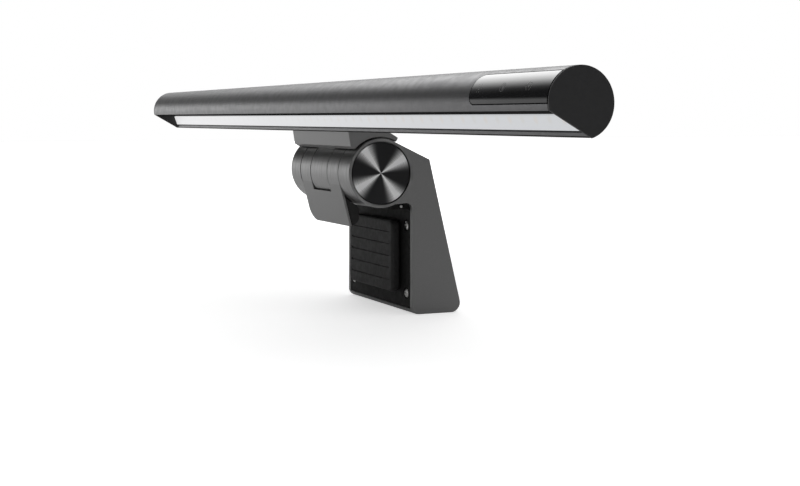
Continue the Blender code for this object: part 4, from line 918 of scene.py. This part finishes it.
def build_end_caps(looks):
    """Flat D-shaped caps with a plug that enters the tube."""
    outline = outer_arc() + lip_corner(FRONT_LIP_ANGLE, polar(BAR_RADIUS, REAR_LIP_ANGLE), 1)
    outline += lip_corner(REAR_LIP_ANGLE, polar(BAR_RADIUS, FRONT_LIP_ANGLE), -1)[::-1]
    plug = arc(BAR_INNER_RADIUS - PLUG_CLEARANCE, *PLUG_ANGLES)
    inner = TUBE_END_X + CAP_GAP
    for side, name in ((-1, "left"), (1, "right")):
        plate = extrusion(outline, *sorted((side * inner, side * BAR_END_X)), PLATE_EDGE)
        stem_ends = sorted((side * (TUBE_END_X - PLUG_LENGTH), side * (BAR_END_X - PLUG_OVERLAP)))
        stem = extrusion(plug, *stem_ends, FINE_EDGE)
        add_piece(f"cap_{name}", moved(joined(plate, stem), BAR), looks, "lamp",
                  "black_plastic", [f"end_cap_{name}"])


def build_diffuser(looks):
    outline = rounded_outline([(wall_point(DIFFUSER_START, 0), DIFFUSER_CORNER),
                               (wall_point(DIFFUSER_START, DIFFUSER_THICKNESS), 0),
                               (wall_point(DIFFUSER_BACK_END, DIFFUSER_THICKNESS), 0),
                               (wall_point(DIFFUSER_FRONT_END, 0), DIFFUSER_CORNER)])
    strip = moved(extrusion(outline, -DIFFUSER_END_X, DIFFUSER_END_X, FINE_EDGE), BAR)
    add_piece("light_diffuser", strip, looks, "lamp", "white_diffuser", ["diffuser"])


def build_touch_panel(looks):
    end_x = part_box("touch_panel")[1].x
    first_angle = TOUCH_ANGLE - TOUCH_SPREAD
    last_angle = TOUCH_ANGLE + TOUCH_SPREAD
    shell = arc(BAR_RADIUS, first_angle, last_angle) + arc(BAR_INNER_RADIUS, last_angle, first_angle)
    window = extrusion(shell, TOUCH_START_X - BEYOND, end_x)
    prism = touch_prism(0, end_x + BEYOND, TOUCH_FLOOR, BAR_RADIUS + BEYOND)
    panel = moved(combined(window, ("INTERSECT", prism)), BAR)
    add_piece("touch_window", panel, looks, "lamp", "gloss_black", ["touch_panel"])


def wrapped_ring(x, inner, outer, start=0.0, end=360.0):
    """Thin ring sector printed on the bar's skin, wrapped around it at the icons' angle."""
    steps = max(6, math.ceil(abs(end - start) / ICON_STEP))
    whole = abs(end - start) >= 360
    section = ((inner, ICON_DEPTH), (outer, ICON_DEPTH), (outer, ICON_LIFT), (inner, ICON_LIFT))
    rings = []
    for i in range(steps + (0 if whole else 1)):
        ring = []
        for radius, lift in section:
            across = polar(radius, start + (end - start) * i / steps)
            out = radial(ICON_ANGLE + math.degrees(across.y / BAR_RADIUS)) * (BAR_RADIUS + lift)
            ring.append(BAR + out + Vector((x + across.x, 0, 0)))
        rings.append(ring)
    return bridged("ring", rings, whole)


def several(meshes):
    """Separate shells in one mesh."""
    shape = bmesh.new()
    for mesh in meshes:
        shape.from_mesh(mesh)
    return closed_mesh("several", shape)


def build_icons(looks):
    """Three generic marks over the touch keys: a dot with rays, a half disc in a ring, a ring and dot."""
    dots = [(x, ICON_PINHOLE, radius) for x, radius in zip(ICONS_X, ICON_DOTS)]
    ray_start, ray_end = ICON_RING[0], ICON_RING[1] + ICON_RAY
    rays = [wrapped_ring(ICONS_X[0], ray_start, ray_end, a - ICON_RAY_HALF_ANGLE, a + ICON_RAY_HALF_ANGLE)
            for a in range(0, 360, 60)]
    marks = (
        [wrapped_ring(*dots[0])] + rays,
        [wrapped_ring(ICONS_X[1], *ICON_RING), wrapped_ring(*dots[1], -90, 90)],
        [wrapped_ring(ICONS_X[2], *ICON_RING, *ICON_OPEN_RING), wrapped_ring(*dots[2])],
    )
    for number, shells in enumerate(marks, 1):
        add_piece(f"touch_mark_{number}", several(shells), looks, "lamp", "gloss_black", look="icon")


def build_socket(looks):
    mouth, width, height, length = socket_frame()
    shell = extrusion(stadium(width, height), -length, 0, FINE_EDGE)
    inside = stadium(width - 2 * SOCKET_WALL, height - 2 * SOCKET_WALL)
    hollow = extrusion(inside, -length + SOCKET_FLOOR, BEYOND)
    tongue = block((-length + TONGUE_ENDS[0], -TONGUE_HALF_WIDTH, -TONGUE_HALF_HEIGHT),
                   (-TONGUE_ENDS[1], TONGUE_HALF_WIDTH, TONGUE_HALF_HEIGHT))
    socket = towards_back(joined(cut(shell, hollow), tongue), mouth)
    add_piece("power_socket", socket, looks, "lamp", "steel", ["usb_socket"])


def saddle_section():
    """Hood section: hugs the bar above, clears the barrel below, and ends in a tail at the back."""
    bar = Vector((BAR.y - HINGE.y, BAR.z - HINGE.z))
    contact = BAR_RADIUS + SADDLE_CONTACT_GAP
    rear = line_meets_circle(SADDLE_TAIL_TOP, SADDLE_REAR_TOP, contact, bar)
    front = line_meets_circle(SADDLE_FRONT_BOTTOM, SADDLE_FRONT_TOP, contact, bar)
    tail_end = polar(SADDLE_CLEARANCE, SADDLE_TAIL_ANGLE)
    bevel_start = polar(SADDLE_CLEARANCE, SADDLE_BEVEL_ANGLE)
    outline = fillet(tail_end, SADDLE_TAIL_TOP, rear, TAIL_ROUNDING)
    outline += arc(contact, angle_of(rear - bar), angle_of(front - bar), bar)
    outline += fillet(front, SADDLE_FRONT_BOTTOM, bevel_start, HOOD_FRONT_ROUNDING)
    outline += arc(SADDLE_CLEARANCE, SADDLE_BEVEL_ANGLE, SADDLE_TAIL_ANGLE)
    return outline


def knuckle_ring(start_x, end_x, seats):
    """Ring of the barrel with rounded rims; seats are (x, radius) points along its bore."""
    profile = [(start_x, BARREL_RADIUS), (end_x, BARREL_RADIUS)] + seats
    rims = softened(profile, PLATE_EDGE, range(2, len(profile)))
    return turned(rims, first_angle=CLIP_TANGENT_ANGLE)


def build_saddle(looks):
    """Hood that holds the bar, joined by a neck to the lamp's knuckle of the barrel."""
    hood = extrusion(saddle_section(), -SADDLE_END_X, SADDLE_END_X, PLATE_EDGE)
    half = LAMP_JOINT_X - KNUCKLE_GAP / 2
    seat = half - WASHER_SEAT_DEPTH
    seats = [(half, WASHER_SEAT_RADIUS), (seat, WASHER_SEAT_RADIUS), (seat, BUSH_SEAT_RADIUS),
             (-seat, BUSH_SEAT_RADIUS), (-seat, WASHER_SEAT_RADIUS), (-half, WASHER_SEAT_RADIUS)]
    knuckle = knuckle_ring(-half, half, seats)
    neck_section = arc(NECK_RADII[0], *NECK_ANGLES) + arc(NECK_RADII[1], *reversed(NECK_ANGLES))
    neck = extrusion(neck_section, -half + NECK_INSET, half - NECK_INSET)
    saddle = moved(joined(hood, knuckle, neck), HINGE)
    holes = []
    for side in (-1, 1):
        middle = BAR + Vector((side * SADDLE_SCREW_X, 0, 0))
        hole = stepped_hole(SADDLE_HOLE_START, SADDLE_HOLE_RADIUS, SADDLE_HEAD_SEAT,
                            SADDLE_HEAD_HOLE_RADIUS, SADDLE_HOLE_END)
        holes.append(aimed(hole, radial(SADDLE_SCREW_ANGLE), middle))
    add_piece("hood_and_knuckle", cut(saddle, *holes), looks, "lamp", "grey_metal", ["lamp_saddle"])


# --- Clip -----------------------------------------------------------------------------------------


def clip_line():
    """Tangent point and bottom of the clip plate's outer face."""
    tangent = polar(BARREL_RADIUS, CLIP_TANGENT_ANGLE)
    down = polar(1, CLIP_TANGENT_ANGLE + 90)
    return tangent, tangent + down * ((CLIP_BOTTOM - tangent.y) / down.y)


def corner_cutter(margin):
    """Everything outside the plate's rounded lower left corner."""
    width = CLIP_CORNER[0] + margin
    height = CLIP_CORNER[1] + margin
    middle = Vector((width - CLIP_END_X, CLIP_BOTTOM + height))
    beyond_end = -CLIP_END_X - BEYOND
    below = CLIP_BOTTOM - BEYOND
    outline = [Vector((beyond_end, middle.y)), Vector((beyond_end, below)), Vector((middle.x, below))]
    for i in range(CLIP_CORNER_STEPS + 1):
        angle = math.radians(270 - 90 * i / CLIP_CORNER_STEPS)
        outline.append(middle + Vector((width * math.cos(angle), height * math.sin(angle))))
    outline[-1].x -= CLIP_CORNER_OVERLAP
    return towards_back(extrusion(outline, *CLIP_CORNER_CUT), Vector())


def build_clip(looks):
    """Plate that hangs tangent from two knuckles, with a notch around the lamp's knuckle."""
    tangent, bottom = clip_line()
    inner_top, inner_bottom = shifted(tangent, bottom, CLIP_THICKNESS)
    inner_bottom = line_meets_line(inner_top, inner_bottom, *level(CLIP_BOTTOM))
    joint = line_meets_circle(inner_bottom, inner_top, BARREL_RADIUS)
    section = fillet(inner_bottom, bottom, tangent, CLIP_FRONT_ROUNDING)
    section += arc(BARREL_RADIUS, CLIP_TANGENT_ANGLE, angle_of(joint))
    section += fillet(inner_top, inner_bottom, bottom, CLIP_REAR_ROUNDING)
    clip = extrusion(section, -CLIP_END_X, CLIP_END_X, PLATE_EDGE)
    inside = LAMP_JOINT_X + KNUCKLE_GAP / 2
    tools = [cylinder(SWEEP_RADIUS, -inside, inside, first_angle=CLIP_CUT_TURN),
             block((-inside, NOTCH_FRONT_Y, CLIP_NOTCH), (inside, 0, NOTCH_TOP)), corner_cutter(0)]
    pocket_radius, pocket_end = SPRING_POCKET
    start = inside - BEYOND
    end = CLIP_END_X + BEYOND
    inner_seat = inside + WASHER_SEAT_DEPTH
    outer_seat = CLIP_END_X - WASHER_SEAT_DEPTH
    for side in (-1, 1):
        profile = [(start, 0), (start, WASHER_SEAT_RADIUS), (inner_seat, WASHER_SEAT_RADIUS),
                   (inner_seat, pocket_radius), (pocket_end, pocket_radius), (pocket_end, BUSH_SEAT_RADIUS),
                   (outer_seat, BUSH_SEAT_RADIUS), (outer_seat, WASHER_SEAT_RADIUS),
                   (end, WASHER_SEAT_RADIUS), (end, 0)]
        tools.append(turned([(side * x, radius) for x, radius in profile], SEAT_SIDES))
    add_piece("swing_clip", moved(cut(clip, *tools), HINGE), looks, "clip", "grey_metal", ["front_clip"])


def build_front_pad(looks):
    tangent, bottom = clip_line()
    front_top, front_bottom = shifted(tangent, bottom, CLIP_THICKNESS + PAD_GAP)
    start = line_meets_circle(front_bottom, front_top, SWEEP_RADIUS)
    foot = line_meets_line(front_top, front_bottom, *level(PAD_BOTTOM))
    face_top = Vector((PAD_BACK_Y, PAD_FACE_TOP))
    end_angle = -math.degrees(math.acos((PAD_BACK_Y - PAD_TOP_LEAN) / SWEEP_RADIUS))
    low_back = Vector((PAD_BACK_Y, PAD_BOTTOM))
    outline = arc(SWEEP_RADIUS, angle_of(start), end_angle)
    outline += fillet(polar(SWEEP_RADIUS, end_angle), face_top, low_back, PAD_TOP_ROUNDING)
    outline += fillet(face_top, low_back, foot, PAD_CORNER, LARGE_ROUNDING_STEPS)
    outline.append(foot)
    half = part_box("front_pad")[1].x
    pad = cut(extrusion(outline, -half, half, PAD_EDGE), corner_cutter(PAD_CORNER_MARGIN))
    add_piece("clip_pad", moved(pad, HINGE), looks, "clip", "black_rubber", ["front_pad"])


# --- Clamp ----------------------------------------------------------------------------------------


def back_line():
    """Two points on the housing's sloping back."""
    drop = HOUSING_CORNER.y - HOUSING_BOTTOM
    lean = drop * math.tan(math.radians(HOUSING_BACK_SLOPE))
    return HOUSING_CORNER, Vector((HOUSING_CORNER.x + lean, HOUSING_BOTTOM))


def top_tangent_angle():
    """Angle at which the housing's sloping top leaves the barrel."""
    lift = math.degrees(math.acos(BARREL_RADIUS / HOUSING_CORNER.length))
    return angle_of(HOUSING_CORNER) + lift


def housing_section():
    """Barrel and arm in one outline."""
    corner, low_back = back_line()
    top = polar(BARREL_RADIUS, top_tangent_angle())
    low_front = Vector((THROAT_BACK_Y, HOUSING_BOTTOM))
    inner_corner = Vector((THROAT_BACK_Y, THROAT_CEILING))
    back_rounding, front_rounding = HOUSING_FOOT_ROUNDINGS
    steps = LARGE_ROUNDING_STEPS
    outline = arc(BARREL_RADIUS, angle_of(CEILING_FRONT) + 360, top_tangent_angle())
    outline += fillet(top, corner, low_back, HOUSING_TOP_ROUNDING)
    outline += fillet(corner, low_back, low_front, back_rounding, steps)
    outline += fillet(low_back, low_front, inner_corner, front_rounding, steps)
    outline += fillet(low_front, inner_corner, CEILING_FRONT, HOUSING_THROAT_ROUNDING, steps)
    return outline


def cavity_section():
    """Hollow of the arm, open towards the monitor, with a wall around the barrel."""
    corner, low_back = back_line()
    top = polar(BARREL_RADIUS, top_tangent_angle())
    roof = shifted(corner, top, HOUSING_WALL)
    back = shifted(low_back, corner, HOUSING_WALL)
    floor = level(HOUSING_BOTTOM + HOUSING_WALL)
    barrel_wall = SWEEP_RADIUS + HOUSING_WALL
    roof_start = line_meets_circle(roof[0] + (roof[0] - roof[1]), roof[1], barrel_wall)
    low_angle = -math.degrees(math.asin(-THROAT_CEILING / barrel_wall))
    outline = [Vector((COVER_FRONT_Y, floor[0].y))]
    outline += [line_meets_line(*back, *floor), line_meets_line(*back, *roof)]
    outline += arc(barrel_wall, angle_of(roof_start), low_angle)
    outline.append(Vector((COVER_FRONT_Y, THROAT_CEILING)))
    return outline


def build_housing(looks):
    """Shell behind the monitor, with the barrel's two end knuckles."""
    shell = extrusion(housing_section(), -BARREL_END_X, BARREL_END_X, HOUSING_EDGE)
    inside = BARREL_END_X - HOUSING_WALL
    middle = CLIP_JOINT_X + KNUCKLE_GAP / 2
    tools = [extrusion(cavity_section(), -inside, inside),
             cylinder(SWEEP_RADIUS, -middle, middle, first_angle=HOUSING_CUT_TURN),
             block((-middle, 0, 0), (middle, *TOP_SLOT))]
    start = middle - BEYOND
    end = BARREL_END_X + BEYOND
    seat = middle + WASHER_SEAT_DEPTH
    pocket_radius, pocket_x = END_POCKET
    cap_radius, cap_x = CAP_SEAT
    for side in (-1, 1):
        profile = [(start, 0), (start, WASHER_SEAT_RADIUS), (seat, WASHER_SEAT_RADIUS),
                   (seat, SHAFT_BORE_RADIUS), (pocket_x, SHAFT_BORE_RADIUS), (pocket_x, pocket_radius),
                   (cap_x, pocket_radius), (cap_x, cap_radius), (end, cap_radius), (end, 0)]
        tools.append(turned([(side * x, radius) for x, radius in profile]))
    add_piece("rear_body", moved(cut(shell, *tools), HINGE), looks, "clamp", "grey_metal", ["rear_housing"])


def build_discs(looks):
    """Spun discs in the barrel's ends, each with a chamfered rim and a small centre dimple."""
    for side, name in ((-1, "left"), (1, "right")):
        low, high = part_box(f"hinge_cap_{name}")
        outer = max(abs(low.x), abs(high.x))
        inner = min(abs(low.x), abs(high.x))
        radius = (high.z - low.z) / 2
        dimple_floor = outer - DIMPLE_DEPTH
        profile = [(inner, 0), (inner, radius), (outer - DISC_CHAMFER, radius),
                   (outer, radius - DISC_CHAMFER), (outer, DIMPLE_RADIUS),
                   (dimple_floor, DIMPLE_FLOOR_RADIUS), (dimple_floor, 0)]
        disc = turned([(side * x, r) for x, r in profile])
        add_piece(f"spun_disc_{name}", moved(disc, HINGE), looks, "clamp", "spun_metal",
                  [f"hinge_cap_{name}"])


def middle_of(node):
    low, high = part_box(node)
    return (low + high) / 2


def build_cover(looks):
    """Black L-shaped cover that closes the arm's front and forms the seat; its black plastic is made darker still
    as painted shade for the throat's shadow.
    """
    clear = SWEEP_RADIUS + COVER_GAP
    start_angle = -math.degrees(math.acos(COVER_FRONT_Y / clear))
    end_angle = -math.degrees(math.asin(-COVER_TOP / clear))
    back = THROAT_BACK_Y + COVER_THICKNESS
    front = Vector((COVER_FRONT_Y, COVER_UNDERSIDE))
    inner = Vector((THROAT_BACK_Y, COVER_UNDERSIDE))
    bottom = Vector((THROAT_BACK_Y, COVER_BOTTOM))
    outline = [front] + fillet(front, inner, bottom, COVER_ROUNDING)
    outline += [bottom, Vector((back, COVER_BOTTOM)), Vector((back, COVER_TOP))]
    outline += arc(clear, end_angle, start_angle)
    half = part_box("inner_cover")[1].x
    cover = moved(extrusion(outline, -half, half, COVER_EDGE), HINGE)
    low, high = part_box("seat_pad")
    gap = SEAT_PAD_GAP
    tools = [block((low.x - gap, low.y - BEYOND, low.z - BEYOND), (high.x + gap, high.y + gap, high.z + gap))]
    hole_radius, hole_end = COVER_HOLE
    head_radius, head_depth = COVER_HEAD_HOLE
    for name in COVER_SCREWS:
        middle = middle_of(name)
        hole = stepped_hole(-BEYOND, head_radius, head_depth, hole_radius, hole_end)
        tools.append(aimed(hole, (0, 1, 0), (middle.x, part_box(name)[0].y, middle.z)))
    pit_radius, pit_depth = SEAT_SCREW_PIT
    for side, name in SEAT_SCREWS:
        middle = middle_of(name)
        pit = cylinder(pit_radius, *sorted((side * (half - pit_depth), side * (half + BEYOND))), HOLE_SIDES)
        tools.append(moved(pit, Vector((0, middle.y, middle.z))))
    # the cover's look adds painted shade: a darker black for the throat's shadow
    add_piece("throat_cover", cut(cover, *tools), looks, "clamp", "black_plastic", ["inner_cover"],
              look="shade_darkened_black")


def rounded_slab(low, high, corner, edge, axis):
    """Pad with rounded corners seen along an axis, and rounded edges all round."""
    middle = (low + high) / 2
    size = high - low
    width, height, depth = (size.x, size.z, size.y) if axis == "Y" else (size.x, size.y, size.z)
    outline = rounded_outline([(Vector((a * width / 2, b * height / 2)), corner) for a, b in SQUARE])
    slab = extrusion(outline, -depth / 2, depth / 2, edge)
    if axis == "Y":
        return laid(slab, Vector((0, 1, 0)), Vector((1, 0, 0)), Vector((0, 0, 1)), middle)
    return laid(slab, Vector((0, 0, 1)), Vector((1, 0, 0)), Vector((0, 1, 0)), middle)


def build_pads(looks):
    """Seat pad and rear pad; the rear one has shallow grip grooves."""
    seat = rounded_slab(*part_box("seat_pad"), *SEAT_PAD_SHAPE, "Z")
    add_piece("seat_rubber", seat, looks, "clamp", "black_rubber", ["seat_pad"])
    low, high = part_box("rear_pad")
    rear = rounded_slab(low, high, *REAR_PAD_SHAPE, "Y")
    floor_y = low.y + GROOVE_DEPTH
    mouth_y = low.y - GROOVE_MOUTH_LIFT
    grooves = []
    for i in range(GROOVES):
        z = low.z + (high.z - low.z) * (i + 1) / (GROOVES + 1)
        outline = [Vector((mouth_y, z - GROOVE_HALF_MOUTH)), Vector((floor_y, z - GROOVE_HALF_FLOOR)),
                   Vector((floor_y, z + GROOVE_HALF_FLOOR)), Vector((mouth_y, z + GROOVE_HALF_MOUTH))]
        grooves.append(extrusion(outline, low.x + GROOVE_MARGIN, high.x - GROOVE_MARGIN))
    add_piece("rear_rubber", cut(rear, *grooves), looks, "clamp", "black_rubber", ["rear_pad"])


# --- Screws ---------------------------------------------------------------------------------------


def recessed_screw(head_radius, head_height, shank_radius, length):
    """Round-headed screw along +X from the head's underside, with a cross recess."""
    top = -head_height
    profile = [(length, 0), (length, shank_radius * 0.6), (length - SCREW_TIP, shank_radius),
               (0, shank_radius), (0, head_radius), (top * 0.55, head_radius),
               (top * 0.85, head_radius * 0.86), (top, head_radius * 0.6), (top, 0)]
    blade = head_radius * 0.62
    slot = head_radius * 0.13
    depth = head_height * 0.55
    bars = [block((top - BEYOND, -blade, -slot), (top + depth, blade, slot)),
            block((top - BEYOND, -slot, -blade), (top + depth, slot, blade))]
    return cut(turned(profile, SCREW_SIDES), *bars)


def build_screws(looks):
    for name in COVER_SCREWS:
        low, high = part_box(name)
        middle = middle_of(name)
        screw = recessed_screw((high.x - low.x) / 2, *COVER_SCREW)
        head = Vector((middle.x, low.y + COVER_SCREW[0], middle.z))
        place_screw(name, aimed(screw, (0, 1, 0), head), looks, "clamp")
    for side, name in SEAT_SCREWS:
        low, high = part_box(name)
        middle = middle_of(name)
        screw = recessed_screw((high.z - low.z) / 2, *SEAT_SCREW)
        outer = side * max(abs(low.x), abs(high.x))
        head = Vector((outer - side * SEAT_SCREW[0], middle.y, middle.z))
        place_screw(name, aimed(screw, (-side, 0, 0), head), looks, "clamp")
    for side, name in ((-1, "saddle_screw_left"), (1, "saddle_screw_right")):
        middle = BAR + Vector((side * SADDLE_SCREW_X, 0, 0))
        head = middle + radial(SADDLE_SCREW_ANGLE) * SADDLE_SCREW_HEAD
        screw = recessed_screw(SADDLE_SCREW_HEAD_RADIUS, *SADDLE_SCREW)
        place_screw(name, aimed(screw, -radial(SADDLE_SCREW_ANGLE), head), looks, "lamp")


def place_screw(node, mesh, looks, body):
    add_piece(f"{node}_head", mesh, looks, body, "steel", [node])


# --- Carried-over nodes ---------------------------------------------------------------------------


def dress_cad_nodes(looks):
    """Gives every CAD node that still shows the finish of its material slot."""
    slots = {row["node"]: row["material_slot"] for row in frame["record"]["subparts"]}
    for name, node in frame["nodes"].items():
        node.data.materials.clear()
        node.data.materials.append(looks[slots[name]])


# --- Studio ---------------------------------------------------------------------------------------


def build_world():
    """White to the camera. To the object, soft lights that fade by the direction that they come from."""
    world = bpy.data.worlds.new("studio")
    bpy.context.scene.world = world
    world.use_nodes = True
    tree = world.node_tree
    tree.nodes.clear()
    nodes = Nodes(tree)
    split = tree.nodes.new("ShaderNodeSeparateXYZ")
    tree.links.new(tree.nodes.new("ShaderNodeTexCoord").outputs["Generated"], split.inputs[0])
    x, y, z = split.outputs
    left = nodes.fade(x, -0.75, -0.35, 1.0, 0.0)
    ceiling = nodes.fade(z, 0.45, 0.9, 0.0, CEILING_LIGHT)
    strip = nodes.times(left, nodes.fade(y, -0.32, 0.12, 0.0, STRIP_LIGHT), nodes.fade(z, 0.28, 0.42),
                        nodes.fade(z, 0.5, 0.7, 1.0, 0.0))
    fill = nodes.times(left, nodes.fade(y, -0.4, -0.15, 0.0, FILL_LIGHT), nodes.fade(y, -0.1, 0.05, 1.0, 0.0))
    front_glow = nodes.fade(y, -0.47, -0.3, FAR_FRONT_LIGHT, FRONT_LIGHT)
    front = nodes.times(front_glow, nodes.fade(y, -0.62, -0.54), nodes.fade(y, -0.2, -0.05, 1.0, 0.0),
                        nodes.fade(z, 0.08, 0.17, 1.0, 0.0))
    right = nodes.fade(x, -0.5, 0.2, 0.0, RIGHT_LIGHT)
    total = nodes.plus(ceiling, strip, fill, front, right, ROOM_LIGHT)
    studio = tree.nodes.new("ShaderNodeBackground")
    tree.links.new(total, studio.inputs["Strength"])
    backdrop = tree.nodes.new("ShaderNodeBackground")
    backdrop.inputs["Strength"].default_value = 1.0
    backdrop.inputs["Color"].default_value = (1, 1, 1, 1)
    blend = tree.nodes.new("ShaderNodeMixShader")
    tree.links.new(tree.nodes.new("ShaderNodeLightPath").outputs["Is Camera Ray"], blend.inputs[0])
    tree.links.new(studio.outputs[0], blend.inputs[1])
    tree.links.new(backdrop.outputs[0], blend.inputs[2])
    tree.links.new(blend.outputs[0], tree.nodes.new("ShaderNodeOutputWorld").inputs[0])


def build_floor():
    """Pale floor under the clamp that fades into the white backdrop."""
    shape = bmesh.new()
    corners = [(a * FLOOR_HALF, b * FLOOR_HALF, cad_bounds[0].z) for a, b in SQUARE]
    shape.faces.new([shape.verts.new(corner) for corner in corners])
    mesh = bpy.data.meshes.new("floor")
    shape.to_mesh(mesh)
    shape.free()
    look = Look("pale_floor", (0.86, 0.86, 0.86), 0.7)
    x, y = look.axes(HINGE)[:2]
    look.set("Base Color", look.mix(look.grain(8), (0.85, 0.85, 0.85), (0.88, 0.88, 0.88)))
    look.set("Emission Color", (1, 1, 1, 1))
    path = look.tree.nodes.new("ShaderNodeLightPath")
    seen = look.times(path.outputs["Is Camera Ray"], look.fade(look.distance(x, y), 0.05, 0.7, 0.55, 1.0))
    glow = look.times(path.outputs["Is Glossy Ray"], look.fade(x, -0.9, 0.1, *FLOOR_GLOW))
    look.set("Emission Strength", look.maths("MAXIMUM", seen, glow))
    mesh.materials.append(look.material)
    floor = bpy.data.objects.new("floor", mesh)
    bpy.context.scene.collection.objects.link(floor)


def build_camera():
    """Level camera to the right of the bar's end, with the lens shifted down."""
    data = bpy.data.cameras.new("camera")
    data.sensor_width = CAMERA_SENSOR
    data.lens = CAMERA_LENS
    data.shift_y = CAMERA_SHIFT
    data.clip_start = 0.01
    data.clip_end = 50
    camera = bpy.data.objects.new("camera", data)
    camera.location = HINGE + CAMERA_PLACE
    camera.rotation_euler = (math.radians(90), 0, math.radians(CAMERA_TURN))
    bpy.context.scene.collection.objects.link(camera)
    bpy.context.scene.camera = camera


looks = make_looks()
build_tube(looks)
build_end_caps(looks)
build_diffuser(looks)
build_touch_panel(looks)
build_icons(looks)
build_socket(looks)
build_saddle(looks)
build_clip(looks)
build_front_pad(looks)
build_housing(looks)
build_discs(looks)
build_cover(looks)
build_pads(looks)
build_screws(looks)
dress_cad_nodes(looks)

build_world()
build_floor()
build_camera()
bpy.context.scene.view_settings.view_transform = "Standard"
